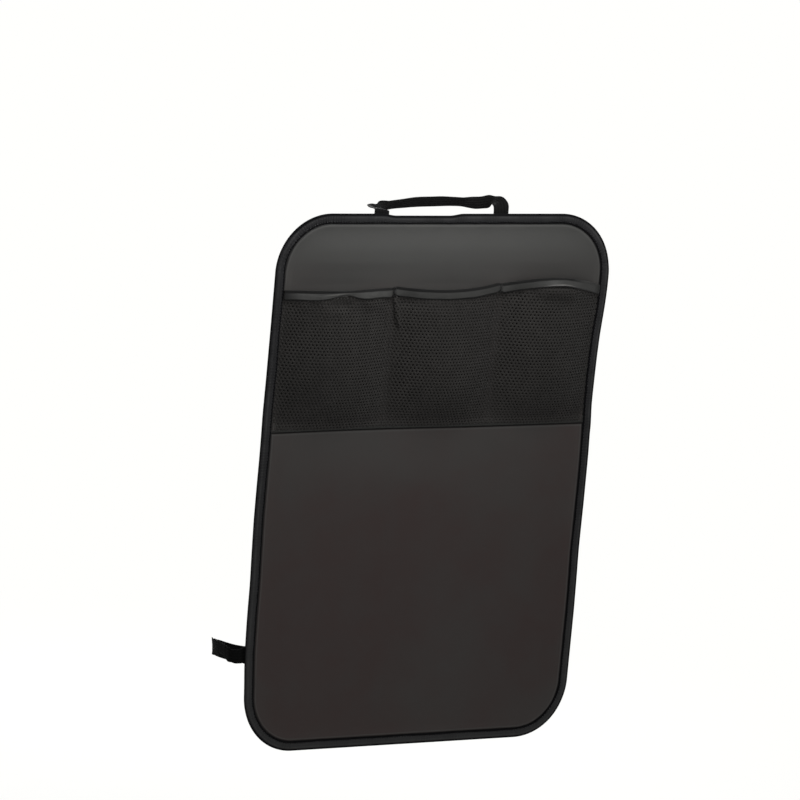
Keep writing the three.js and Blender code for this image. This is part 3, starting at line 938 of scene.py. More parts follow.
@dataclass(frozen=True)
class Hang:
    """How the sewn panel hangs a little out of true, with all that is sewn to it.

    The elastic draws the sides in at the pockets, the lower strap draws the left edge in below
    it, and the top edge dips between the ends of the top strap.

    Attributes:
        left: Heights and the shift of the left edge to the right there, in mm.
        right: The same for the right edge.
        dip: Middle, half width and depth of the top edge's dip, in mm.
        seam: Places across and the rise of the net's base seam there, in mm.
        top: The same for the top edge.
        low: How far the bottom edge hangs down, in mm.
    """

    left: Knots = (
        (-325, 7.2), (-278, 6.8), (-262, 6.4), (-248, 5.6), (-233, 4.4), (-219, 3.2), (-200, 2.2),
        (-160, 1.4), (-116, 1.5), (-87, 0.6), (-40, -0.4), (0, -0.2), (43, 0.3), (86, -0.3), (130, 0.4),
        (200, 0.9), (325, 1.1),
    )
    right: Knots = (
        (-325, 4.4), (-280, 3.4), (-212, 3.7), (-166, 3.9), (-121, 3.2), (-90, 2.4), (-30, 3.0), (30, 3.0),
        (60, 2.0), (90, 0.3), (120, 0.7), (150, 1.3), (180, 2.6), (195, 4.0), (210, 5.3), (224, 6.3),
        (247, 7.0), (284, 5.9), (325, 4.7),
    )
    dip: tuple[float, float, float] = (-33.0, 56.0, 2.3)
    seam: Knots = (
        (-212, 0), (-198, 0), (-170, 0.7), (-115, 1.7), (-60, 2.4), (50, 2.5), (132, 3.2), (187, 3.8),
        (222, 4.3),
    )
    top: Knots = ((-222, 0.7), (0, 1.1), (150, 1.7), (222, 1.9))
    low: float = 0.8

    def smooth(self, z: Array, knots: Knots) -> Array:
        """Read a list of heights and shifts, with its corners rounded over 36 mm."""
        level = np.arange(-420.0, 421.0, 4.0)
        weight = np.hanning(11)[1:-1]
        shift = np.interp(level, *np.array(knots).T)
        shift = np.convolve(np.pad(shift, 4, "edge"), weight / weight.sum(), "valid")
        return np.interp(z, level, shift)

    def settle(self, points: Array) -> Array:
        """Move points, (n, 3), in mm: sideways by the edges' shifts, which fade towards the middle
        as a smooth step and behind the panel from 12 to 70 mm, down by the dip, and up by the
        seam's rise times exp(-((z - 66) / 24)^2) and by the edges' as smooth steps of z."""
        x, y, z = points.T
        near = 1 - smoothstep(y, 12, 70)
        side = smoothstep(-x, 20, 222) * self.smooth(z, self.left)
        side = side + smoothstep(x, 20, 222) * self.smooth(z, self.right)
        middle, half, depth = self.dip
        dip = 1 - smoothstep(np.abs(x - middle), 0.65 * half, half)
        down = depth * dip * smoothstep(z, 312, 323) * near
        up = np.interp(x, *np.array(self.seam).T) * bells(z, ((66, 24, 1),))
        up = up + np.interp(x, *np.array(self.top).T) * smoothstep(z, 240, 318)
        up = up - self.low * smoothstep(-z, 270, 318)
        return np.stack([x + side * near, y, z - down + up * near], -1)


@dataclass
class BackPanel:
    """The coated cloth panel.

    Attributes:
        thickness: Thickness of the cloth, in mm.
        fold: How far its edge lies inside the tape's outer fold, in mm.
        tape: Width of the tape, in mm.
        base: Height of the net's base seam, in mm.
        mouth: Height of the pockets' mouths, in mm.
        roll: Height and width of the roll along the tape's seam, in mm.
        swell: Height and reach upwards of the swell above the pockets, in mm.
        columns: Points across.
        rows: Points upwards.
    """

    thickness: float = 1.5
    fold: float = 2.4
    tape: float = 12.0
    base: float = 66.0
    mouth: float = 256.0
    roll: tuple[float, float] = (0.95, 2.8)
    swell: tuple[float, float] = (3.0, 72.0)
    columns: int = 150
    rows: int = 230

    def front(self, x: Array, z: Array) -> Array:
        """How far the cloth bellies out to the front, in mm, at a place on the panel.

        A roll that rises from the tape's seam as (e / w) * exp(1 - e / w), with e the distance
        from the tape, broad seeded waves that die out at the tape and behind the net, and a sine
        swell between the pockets' mouths and the top edge.
        """
        seam = np.maximum(OUTLINE.inset(x, z) - self.tape, 0)
        share = seam / self.roll[1]
        roll = self.roll[0] * share * np.exp(1 - share) * (1 + 0.3 * ripple(x, z, 26, 11))
        lower = 1 - smoothstep(z, self.base - 70, self.base - 6)
        upper = smoothstep(z, self.mouth, self.mouth + 14)
        covered = (1 - np.maximum(lower, upper)) * (np.abs(x) < 205)
        broad = 1.2 * (1 + ripple(x, z, 260, 3)) + 0.25 * (1 + ripple(x, z, 90, 5))
        height, reach = self.swell
        above = np.clip((z - self.mouth + 14) / reach, 0, 1)
        swell = height * np.sin(np.pi * above) * smoothstep(seam, -4, 34)
        return roll * (1 - covered * 0.6) + broad * smoothstep(seam, 4, 60) * (lower + 0.4 * upper) + swell

    def build(self) -> bpy.types.Object:
        """Make the panel: rows across the outline at each height, then its thickness."""
        half_x, half_z = OUTLINE.half_width - self.fold, OUTLINE.half_height - self.fold
        radius = OUTLINE.radius - self.fold
        z = half_z * np.sin(np.linspace(-0.5, 0.5, self.rows) * np.pi * 0.999)[:, None]
        over = np.maximum(np.abs(z) - (half_z - radius), 0)
        reach = half_x - radius + np.sqrt(np.maximum(radius**2 - over**2, 0))
        even = np.linspace(-1, 1, self.columns)[None]
        x = reach * (0.35 * np.sin(even * np.pi / 2) + 0.65 * even)
        z = np.broadcast_to(z, x.shape)
        points = np.stack([x, -self.front(x, z) - self.thickness, z], -1)
        piece = open_piece("panel_cloth", Surface(points, np.stack([x, z], -1)))
        thicken(piece, self.thickness, -1.0)
        dress(piece, CoatedCloth(), ["back_panel"])
        return piece


@dataclass
class EdgeBinding:
    """Woven tape folded over the panel's edge all the way round, with its two rows of stitches.

    Attributes:
        face: Width of each face, in mm.
        wall: Thickness of the tape, in mm.
        low_front: Place of the front face where nothing is tucked under it, in mm.
        high_front: Its place where the net's sides are tucked under it, in mm.
        back: Place of the back face, in mm.
        net: Heights between which the net's sides are tucked under, in mm.
        fold: Reach inwards of the outer fold, in mm.
        row: Place among the section's points that the stitches follow.
        stitch_inset: Distance of the stitches from the outer fold, in mm.
        stitch: Length of a stitch and the gap after it, in mm.
    """

    face: float = 12.0
    wall: float = 0.62
    low_front: float = -2.65
    high_front: float = -3.62
    back: float = 0.98
    net: tuple[float, float] = (66.0, 252.0)
    fold: float = 1.6
    row: int = 4
    stitch_inset: float = 9.8
    stitch: tuple[float, float] = (2.7, 0.75)

    def front(self, x: Array, z: Array) -> Array:
        """Place of the tape's front face, further out where the net's sides are tucked under it."""
        low, high = self.net
        beside = smoothstep(z, low - 16, low - 2) * (1 - smoothstep(z, high, high + 16)) * (np.abs(x) > 190)
        return self.low_front + (self.high_front - self.low_front) * beside

    def gathers(self, x: Array, z: Array, run: Array) -> Array:
        """Small puckers along the inner edge, stronger round the corners and under the straps."""
        corner = (np.abs(x) > 151) & (np.abs(z) > 251)
        straps = bells(np.abs(x + 7), ((81, 16, 0.3),)) * (z > 300)
        waves = np.sin(TURN * run / 5.3 + 1.5 * ripple(run, 0.0, 31, 8)) + 0.6 * ripple(run, 0.0, 13, 9)
        return (0.08 + 0.3 * corner + straps) * waves

    def build(self) -> list[bpy.types.Object]:
        """Make the tape and its stitches.

        The section is a closed U: its outer line goes from the front face's inner edge round the
        fold to the back face's, cambered by 0.5 * sin^0.8 between them and pressed in at the
        stitches, and its inner line comes back a wall further in.
        """
        place, inward, run = OUTLINE.walk(1.6)
        x, z = place.T
        depth = np.concatenate([np.linspace(self.face, 8.5, 7), np.linspace(7.5, self.fold, 6)])
        press = bells(depth, ((self.stitch_inset, 0.9, -0.34),)) - 0.5 * smoothstep(depth, 11.2, 12.2)
        wander = 0.35 * ripple(run, 0.0, 55, 15) + 0.3 * ripple(run, 0.0, 21, 16)
        wander = wander[:, None] * smoothstep(depth, 5, 12)
        camber = 0.5 * np.sin(np.pi * np.clip(depth / self.face, 0, 1)) ** 0.8
        pucker = self.gathers(x, z, run)[:, None] * smoothstep(depth, 0, 12)
        front = self.front(x, z)[:, None] + 0.3 - camber - press - pucker
        back = self.back + 0.1 * np.sin(np.pi * depth / self.face) + press * 0.4 - pucker * 0.15
        # The fold is half an ellipse between the two faces
        middle, half = (front[:, -1:] + back[:, -1:]) / 2, (back[:, -1:] - front[:, -1:]) / 2
        turn = np.linspace(-np.pi / 2, np.pi / 2, 9)[1:-1]
        fold = np.broadcast_to(self.fold * (1 - np.cos(turn)), (len(x), len(turn)))
        behind = np.broadcast_to(depth[::-1], back.shape)
        outer_y = np.concatenate([front, middle + half * np.sin(turn), back[:, ::-1]], 1)
        outer_in = np.concatenate([depth + wander, fold, behind], 1)
        # The inner line keeps clear of the cloth between the faces
        inner_front = np.minimum(front + self.wall, -1.52)
        inner_back = np.maximum(back[:, ::-1] - self.wall, 0.06)
        inner_y = np.concatenate([inner_front, middle + (half - self.wall) * np.sin(turn), inner_back], 1)
        inner_in = np.concatenate([depth + wander, fold * 0.6 + self.wall, behind], 1)
        into = np.concatenate([outer_in, inner_in[:, ::-1], outer_in[:, :1]], 1)
        y = np.concatenate([outer_y, inner_y[:, ::-1], outer_y[:, :1]], 1)
        points = np.stack([x[:, None] + inward[:, :1] * into, y, z[:, None] + inward[:, 1:] * into], -1)
        over = np.concatenate([depth, -self.fold * turn, -depth[::-1]])
        over = np.concatenate([over, over[::-1], over[:1]])
        cloth = np.stack(np.broadcast_arrays(run[:, None], over[None]), -1)
        piece = closed_piece("binding_tape", [Surface(points, cloth)])
        tape = dress(piece, WovenTape(), ["edge_binding"])
        # The same place on the back face, counted from the section's other end
        far = len(depth) * 2 + len(turn) - 1 - self.row
        rows = [
            stitches(points[:, self.row] - 0.05 * TO_BACK, -TO_BACK, *self.stitch, 0.24),
            stitches(points[:, far] + 0.03 * TO_BACK, TO_BACK, *self.stitch, 0.22, 0.03),
        ]
        return [tape, dress(closed_piece("binding_stitches", rows), Thread())]


@dataclass(frozen=True)
class Pocket:
    """One pocket of the net: its sides, and how far its mouth lies below the panel's top edge."""

    left: float
    right: float
    drops: tuple[float, float, float]

    def holds(self, x: Array) -> Array:
        """Whether places lie between the pocket's sides."""
        return (x > self.left) & (x < self.right)

    def share(self, x: Array) -> Array:
        """Share of the way across the pocket."""
        return (x - self.left) / (self.right - self.left)

    def drop(self, x: Array) -> Array:
        """Drop of the mouth, as the parabola through the three drops."""
        left, middle, right = self.drops
        s = self.share(x)
        return left + (right - left) * s - 2 * (left + right - 2 * middle) * s * (1 - s)


@dataclass
class NetPockets:
    """The wide net with its base hem, its elastic upper hem, and the stitches that make pockets.

    Attributes:
        pockets: The three pockets.
        dividers: Places of the two sewn dividers, in mm.
        top: Height of the panel's top edge, in mm.
        base: Height of the net's base seam, in mm.
        base_hem: Height of the doubled hem above it, in mm.
        panel_front: Place of the panel's front, in mm.
        seam_gap: Distance of the net from it along the seams, in mm.
        mouth_gap: The same at the mouth, in mm.
        yarn: Thickness of the net, in mm.
        belly: How far a pocket bulges, in mm.
        mouth_belly: How far its mouth stands out, in mm.
        reach: Half width of the net, with what is tucked under the tape, in mm.
        cell: Width and height of a cell, in mm.
        hole_share: Size of a cell's hole, as a share of the cell's.
        flat: Width and height of the net as a flat sheet, in metres. Not used.
        filled: Share of the net's area that isn't holes. Not used.
        ribbon: Half thickness, hinge and leg of the elastic's fold, in mm.
        lifts: Middle, reach and height of the leans of the elastic, in mm and radians.
    """

    pockets: tuple[Pocket, Pocket, Pocket] = (
        Pocket(-212.7, -68.5, (90.5, 89.0, 88.0)),
        Pocket(-61.5, 75.5, (86.5, 88.5, 83.0)),
        Pocket(82.5, 212.7, (83.6, 75.2, 85.6)),
    )
    dividers: tuple[float, float] = (-65.0, 79.0)
    top: float = 325.0
    base: float = 66.0
    base_hem: float = 8.0
    panel_front: float = -1.5
    seam_gap: float = 0.3
    mouth_gap: float = 0.9
    yarn: float = 0.42
    belly: float = 20.0
    mouth_belly: float = 14.0
    reach: float = 216.4
    cell: tuple[float, float] = (4.4, 3.7)
    hole_share: float = 0.5
    flat: tuple[float, float] = (0.4332, 0.172)
    filled: float = 0.74
    ribbon: tuple[float, float, float] = (0.62, -1.5, -9.4)
    lifts: Bells = (
        (-93, 24, 0.36), (-48, 14, -0.3), (79, 8, 0.3), (152, 24, 0.5), (-140, 18, -0.3), (100, 14, -0.15),
        (20, 30, -0.05),
    )

    def arch(self, x: Array) -> Array:
        """Sine arch across each pocket, and 0 on the sewn strips."""
        share = sum(np.where(pocket.holds(x), pocket.share(x), 0.0) for pocket in self.pockets)
        return np.sin(np.pi * share)

    def mouth(self, x: Array) -> Array:
        """Height of the mouth's upper edge: a parabola through three drops in each pocket."""
        x = np.asarray(x, float)
        sides = [side for pocket in self.pockets for side in (pocket.left, pocket.right)]
        drop = np.interp(x, sides, [pocket.drops[i] for pocket in self.pockets for i in (0, 2)])
        for pocket in self.pockets:
            drop = np.where(pocket.holds(x), pocket.drop(x), drop)
        return self.top - drop

    def mouth_out(self, x: Array) -> Array:
        """How far the net stands out at its mouth."""
        return self.mouth_gap + (self.mouth_belly - self.mouth_gap) * self.arch(x)

    def tip(self, x: Array) -> Array:
        """Lean of the elastic in radians: its lower edge is forward where it is positive."""
        tip = bells(x, self.lifts) + 0.07 * ripple(x, 0.0, 85, 32) + 0.05 * ripple(x, 0.0, 24, 33)
        return tip * (0.25 + 0.75 * self.arch(x) ** 0.5)

    def out(self, x: Array, z: Array) -> Array:
        """How far the net stands out from the panel.

        Across a pocket it is a sine arch. Up the pocket it rises as 1 - (1 - t)^2 to the belly
        and eases to the mouth's arch. Seeded gathers hang down from the elastic. Inside the
        elastic's fold the net leans as the fold does, by the depth below its hinge times the
        sine of the lean.
        """
        mouth, arch = self.mouth(x), self.arch(x)
        below = mouth - z
        up = np.clip((z - self.base) / (mouth - 17 - self.base), 0, 1)
        rise = 1 - (1 - np.minimum(up / 0.45, 1)) ** 2
        low = arch * (self.belly * rise + (self.mouth_belly - self.belly) * smoothstep(up, 0.45, 1))
        blend = smoothstep(z, mouth - 17, mouth - 12)
        plain = low * (1 - blend) + self.mouth_out(x) * blend
        folds = 0.9 * np.sin(TURN * x / 21 + 1.3 * ripple(x, z * 0.15, 60, 21))
        folds = (folds + 0.6 * ripple(x, z * 0.1, 26, 22)) * np.exp(-np.maximum(below - 8, 0) / 45) * 0.75
        drape = 0.9 * ripple(x, z, 95, 23) * rise
        loose = arch**0.6 * (folds + drape) * smoothstep(below, 9.5, 18)
        lean = (below - 4) * np.sin(self.tip(x)) * (1 - smoothstep(below, 11, 28)) * smoothstep(arch, 0, 0.3)
        return np.maximum(plain + loose + lean + self.pleat(x, z) * 2.2 * smoothstep(below, 10, 18), 0)

    def pleat(self, x: Array, z: Array) -> Array:
        """Nearness to the slanted pleat that hangs from the first divider, from 0 to 1."""
        below = self.mouth(x) - 10 - z
        line = self.dividers[0] + 1.5 + 0.2 * below
        return bells(x - line, ((0, 3.6, 1),)) * (1 - smoothstep(below, 20, 52)) * smoothstep(below, -4, 4)

    def cells(self, low: float, high: Callable[[Array], Array], shift: float = 0.0) -> tuple[Array, Array]:
        """Hexagonal cells with a hexagonal hole, as a flat net.

        A cell's six corners tile the plane with their neighbours', and its hole is the same
        hexagon drawn in. Six quads join the two.

        Args:
            low: Lower edge of the net, in mm.
            high: Function that gives the upper edge at x.
            shift: Sideways shift of the pattern, in mm.

        Returns:
            Flat points (n, 2) and quads (m, 4).
        """
        w, h = self.cell
        i, j = np.meshgrid(np.arange(int(2 * self.reach / w)), np.arange(int((self.top - low) / h)))
        x = -self.reach + w * (i + 0.5 + 0.5 * (j % 2)) + shift
        z = low + h * (j + 0.62)
        keep = (z < high(x) - h / 2) & (np.abs(x) < self.reach - w / 4)
        centre = np.stack([x[keep], z[keep]], -1)
        corner = np.array([[-w / 2, -h / 3], [0, -2 * h / 3], [w / 2, -h / 3]])
        corner = np.concatenate([corner, -corner])
        outer = centre[:, None] + corner
        outer[..., 1] = np.maximum(outer[..., 1], low)
        rounder = np.tile([[0.9, 1.05], [1, 0.92], [0.9, 1.05]], (2, 1))
        hole = centre[:, None] + corner * rounder * self.hole_share
        count = len(centre)
        flat = np.concatenate([outer.reshape(-1, 2), hole.reshape(-1, 2)])
        a = np.arange(count)[:, None] * 6 + np.arange(6)
        b = np.arange(count)[:, None] * 6 + (np.arange(6) + 1) % 6
        return flat, np.stack([a, b, b + count * 6, a + count * 6], -1).reshape(-1, 4)

    def net(self) -> bpy.types.Object:
        """Make the net: the flat cells laid on the pockets' surface, a doubled base hem and pleat."""
        width = self.cell[0]
        flat, quads = self.cells(self.base, lambda x: self.mouth(x) - 3.2)
        second, more = self.cells(self.base, lambda x: self.base + self.base_hem + 0 * x, width / 2)
        third, doubled = self.cells(150.0, lambda x: self.mouth(x) - 6, width * 0.3)
        doubled = doubled[self.pleat(*third.T)[doubled].min(1) > 0.3]
        y = self.panel_front - self.seam_gap - self.yarn / 2 - self.out(*flat.T)
        y2 = self.panel_front - 0.12 - self.yarn / 2 - 0.2 * self.out(*second.T)
        y3 = self.panel_front - self.seam_gap - 1.6 * self.yarn - 0.5 - self.out(*third.T)
        layers = ((flat, y), (second, y2), (third, y3))
        points = np.concatenate([np.stack([place[:, 0], depth, place[:, 1]], -1) for place, depth in layers])
        faces = np.concatenate([quads, more + len(flat), doubled + len(flat) + len(second)])
        piece = make_mesh("net_cloth", points, faces, points[:, [0, 2]])
        thicken(piece, self.yarn, 0.0)
        dress(piece, KnittedNet(), ["pocket_net"])
        return piece

    def ribbon_fold(self) -> Array:
        """Section of the elastic: a closed U that is half a circle at the top, with bulged legs."""
        inside, hinge, leg = self.ribbon
        turn = np.linspace(0, np.pi, 9)
        outer = np.stack([1.25 * np.cos(turn), -0.65 + 1.25 * np.sin(turn)], -1)
        levels = np.linspace(-2.5, leg, 5)
        bulge = 1.2 + 0.35 * np.sin(np.pi * (levels + 0.65) / -8.75)
        inner_left = np.array([[-inside, leg], [-inside, hinge]])
        profile = [np.stack([bulge, levels], -1)[::-1], outer, np.stack([-bulge, levels], -1), inner_left]
        profile = np.concatenate(profile + [inner_left[::-1] * [[-1, 1]]])
        return np.concatenate([profile, profile[:1]])

    def hem(self) -> bpy.types.Object:
        """Make the elastic hem: a rounded U carried along the mouth.

        It is taller or shorter and tipped forward or back along the mouth, thin where the ribbon
        has turned over, and cinched at the dividers.
        """
        x = np.linspace(self.pockets[0].left, self.pockets[-1].right, 300)
        y = self.panel_front - self.seam_gap - self.mouth_out(x) - 0.4
        profile = self.ribbon_fold()
        turned = bells(x, ((-137, 17, 1),))
        cinch = bells(x, tuple((divider, 3.2, 1) for divider in self.dividers))
        tall = 1.18 - 0.66 * turned - 0.26 * cinch + 0.04 * ripple(x, 0.0, 40, 31)
        tip = self.tip(x)[:, None]
        wide = profile[None, :, 0] * (1 + 0.25 * turned - 0.15 * cinch)[:, None]
        high = profile[None, :, 1] * tall[:, None]
        py = y[:, None] + wide * np.cos(tip) + (high + 4) * np.sin(tip)
        pz = self.mouth(x)[:, None] + high * np.cos(tip) - wide * np.sin(tip)
        points = np.stack([np.broadcast_to(x[:, None], py.shape), py, pz], -1)
        middle = points.mean(1, keepdims=True)
        ends = [np.repeat(end, len(profile), 1) for end in (middle[:1], middle[-1:])]
        points = np.concatenate([ends[0], points, ends[1]])
        run = np.concatenate([x[:1], x, x[-1:]])
        cloth = np.stack(np.broadcast_arrays(run[:, None], profile[None, :, 1]), -1)
        piece = closed_piece("elastic_hem", [Surface(points, cloth)])
        return dress(piece, SatinElastic(), ["pocket_hem"])

    def bartack(self, divider: float, width: float) -> Surface:
        """Dense zigzag of thread over the hem at a divider, carried along as one thin round tube."""
        height = np.arange(-10.2, 0.4, 0.42)
        sway = np.where(np.arange(len(height)) % 2, 0.5, -0.5) * width
        bow = -0.25 * np.cos(np.pi * (height + 4.9) / 11)
        path = np.stack([divider + sway, self.panel_front - 4.25 + bow, self.mouth(divider) + height], -1)
        turn = np.linspace(0, TURN, 7)
        return carried(path, UPWARDS, 0.3 * np.stack([np.cos(turn), np.sin(turn)], -1))

    def seams(self) -> list[bpy.types.Object]:
        """Make the folded lower edge and the stitches of base, dividers and hem."""
        x = np.linspace(-213.5, 213.5, 300)
        path = np.stack([x, np.full_like(x, -2.15), np.full_like(x, self.base + 0.4)], -1)
        fold = closed_piece("net_base_fold", [carried(path, UPWARDS, ribbon_profile(2.2, 0.85, 1, 0.0, 9))])
        dress(fold, KnittedNet(colour=(25, 25, 24)))
        rows = []
        for forward, lift in ((0.62, 1.6), (0.87, 7.2)):
            rows.append(stitches(path - forward * TO_BACK + lift * UPWARDS, -TO_BACK, 2.4, 0.7, 0.2))
        for divider, width in zip(self.dividers, (4.4, 2.4)):
            mouth = float(self.mouth(divider))
            height = np.linspace(self.base + 2, mouth - 1, 120)
            y = -2.35 - 1.55 * smoothstep(height, mouth - 14, mouth - 9)
            line = np.stack([np.full_like(height, divider), y, height], -1)
            rows += [stitches(line, -TO_BACK, 2.2, 0.6, 0.26), self.bartack(divider, width)]
        return [fold, dress(closed_piece("pocket_stitches", rows), Thread(colour=(17, 17, 18)))]


@dataclass(frozen=True)
class SewnWebbing:
    """The webbing of every strap, and the stitches that hold its ends.

    Attributes:
        width: Width, in mm.
        thickness: Thickness, in mm.
        ribs: Number of lengthwise ribs.
        relief: Height of the ribs, in mm.
        square: Half width and half height of the square of stitches, in mm.
        back: Place of the stitches behind the panel, in mm.
    """

    width: float = 20.0
    thickness: float = 1.2
    ribs: int = 5
    relief: float = 0.22
    square: tuple[float, float] = (7.0, 6.0)
    back: float = 1.56

    def crossed(self, x: float, z: float) -> list[Surface]:
        """Stitches of one end, round its middle on the strap's back: a square with two diagonals."""
        w, h = self.square
        signs = ((-1, -1), (1, -1), (1, 1), (-1, 1))
        corners = [np.array([x + a * w, self.back, z + b * h]) for a, b in signs]
        lines = ((0, 1), (1, 2), (2, 3), (3, 0), (0, 2), (1, 3))
        return [stitches(np.stack([corners[a], corners[b]]), TO_BACK, 2.2, 0.6, 0.24, 0.06) for a, b in lines]

    def build(
        self, name: str, node: str, route: tuple[Array, Array], narrow: Array, ends: Knots
    ) -> list[bpy.types.Object]:
        """Carry the webbing along a route and sew its ends.

        Args:
            name: Name of the piece.
            node: Name of the solid that it stands for.
            route: Places, (n, 3), in mm, and width directions, (n, 3).
            narrow: Share of the full width at each station, (n,).
            ends: Middles of the sewn ends, across and up, in mm.

        Returns:
            The strap and its stitches.
        """
        profile = ribbon_profile(self.width, self.thickness, self.ribs, self.relief)
        shrink = np.stack([narrow, np.ones_like(narrow)], -1)
        strap = dress(closed_piece(name, [carried(*route, profile, shrink)]), Webbing(), [node])
        rows = [row for end in ends for row in self.crossed(*end)]
        return [strap, dress(closed_piece(f"{name}_stitches", rows), Thread())]


@dataclass
class TopStrap:
    """Webbing sewn behind the top edge at both ends, whose loop hangs the organizer up.

    It turns over and is pinched at both corners of the loop, as 1 less a few bells of its run.

    Attributes:
        leg: Distance of each sewn end from the strap's middle, in mm.
        shift: Place of that middle across the panel, in mm.
        level: Height of the panel's top edge, in mm.
        depth: Depth of the loop behind the panel, in mm.
        reach: Half width of the loop's far side, in mm.
        pinches: Middle, reach and depth of the pinches near the left corner, along the strap.
        far_pinches: The same near the right corner, measured back from that leg.
    """

    leg: float = 81.0
    shift: float = -7.0
    level: float = 325.0
    depth: float = 59.0
    reach: float = 70.0
    pinches: Bells = ((34, 7, 0.12), (47, 9, 0.42), (90, 16, 0.15), (145, 40, 0.08))
    far_pinches: Bells = ((-66, 26, 0.23), (-45, 10, 0.12), (-27, 7, 0.36))

    def route(self) -> tuple[Array, Array]:
        """Places and width directions from the left sewn end round the loop to the right one."""
        leg, reach, depth = self.leg, self.reach, self.depth
        lean = (0, -0.64, 0.77)
        chosen = [
            ((-leg, 2, 0), (-1, 0, 0)),
            ((-leg + 0.3, 2.6, 4), (-1, -0.05, 0)),
            ((-leg + 1, 8, 4.4), (-0.97, -0.2, 0.08)),
            ((-leg + 1.5, 0.3 * depth, 3.2), (-0.92, -0.28, 0.16)),
            ((-leg + 4.5, 0.52 * depth, 2.2), (-0.85, -0.3, 0.3)),
            ((7.5 - reach, 0.76 * depth, -0.8), (-0.5, -0.4, 0.7)),
            ((16.5 - reach, 0.9 * depth, -0.2), (-0.15, -0.6, 0.77)),
            ((25 - reach, 0.97 * depth, 0.3), lean),
            ((34 - reach, depth, 1.6), lean),
            ((48 - reach, depth, 3.2), lean),
            ((66 - reach, depth, 5), lean),
            ((reach - 47, depth, 5.7), lean),
            ((reach - 26, depth, 5.7), (0, -0.66, 0.75)),
            ((reach - 10, depth, 5.2), (0, -0.62, 0.78)),
            ((reach - 2, 0.91 * depth, 5.2), (0.05, -0.5, 0.85)),
            ((leg - 7, 0.72 * depth, 6.6), (0.1, -0.3, 0.95)),
            ((leg - 2, 0.48 * depth, 10.2), (0.3, -0.1, 0.95)),
            ((leg + 0.5, 0.3 * depth, 13.2), (0.72, 0, 0.7)),
            ((leg + 1.5, 9, 10.8), (0.97, 0, 0.22)),
            ((leg + 0.4, 3.4, 6), (1, 0, 0)),
            ((leg, 2, 0), (1, 0, 0)),
        ]
        path, across = smooth_route(chosen, 400)
        sewn = np.array([[0.9, -32], [0.9, -15], [2.0, -12.6], [2.0, -6]])
        left, right = (np.column_stack([np.full(4, x), sewn]) for x in (-leg, leg))
        path = np.concatenate([left, path, right[::-1]])
        flat = np.tile(RIGHTWARDS, (4, 1))
        path, across = evened(path, np.concatenate([-flat, across, flat]))
        return path + np.array([[self.shift, 0, self.level]]), across

    def build(self) -> list[bpy.types.Object]:
        """Make the strap and the stitches of its two ends."""
        path, across = self.route()
        run = np.arange(len(path)) * STATION - 31
        end = run[-1] - 31
        narrow = 1 - bells(run, self.pinches) - bells(run - end, self.far_pinches)
        ends = tuple((self.shift + side * self.leg, self.level - 23.5) for side in (-1, 1))
        return SewnWebbing().build("headrest_strap", "top_strap", (path, across), narrow, ends)


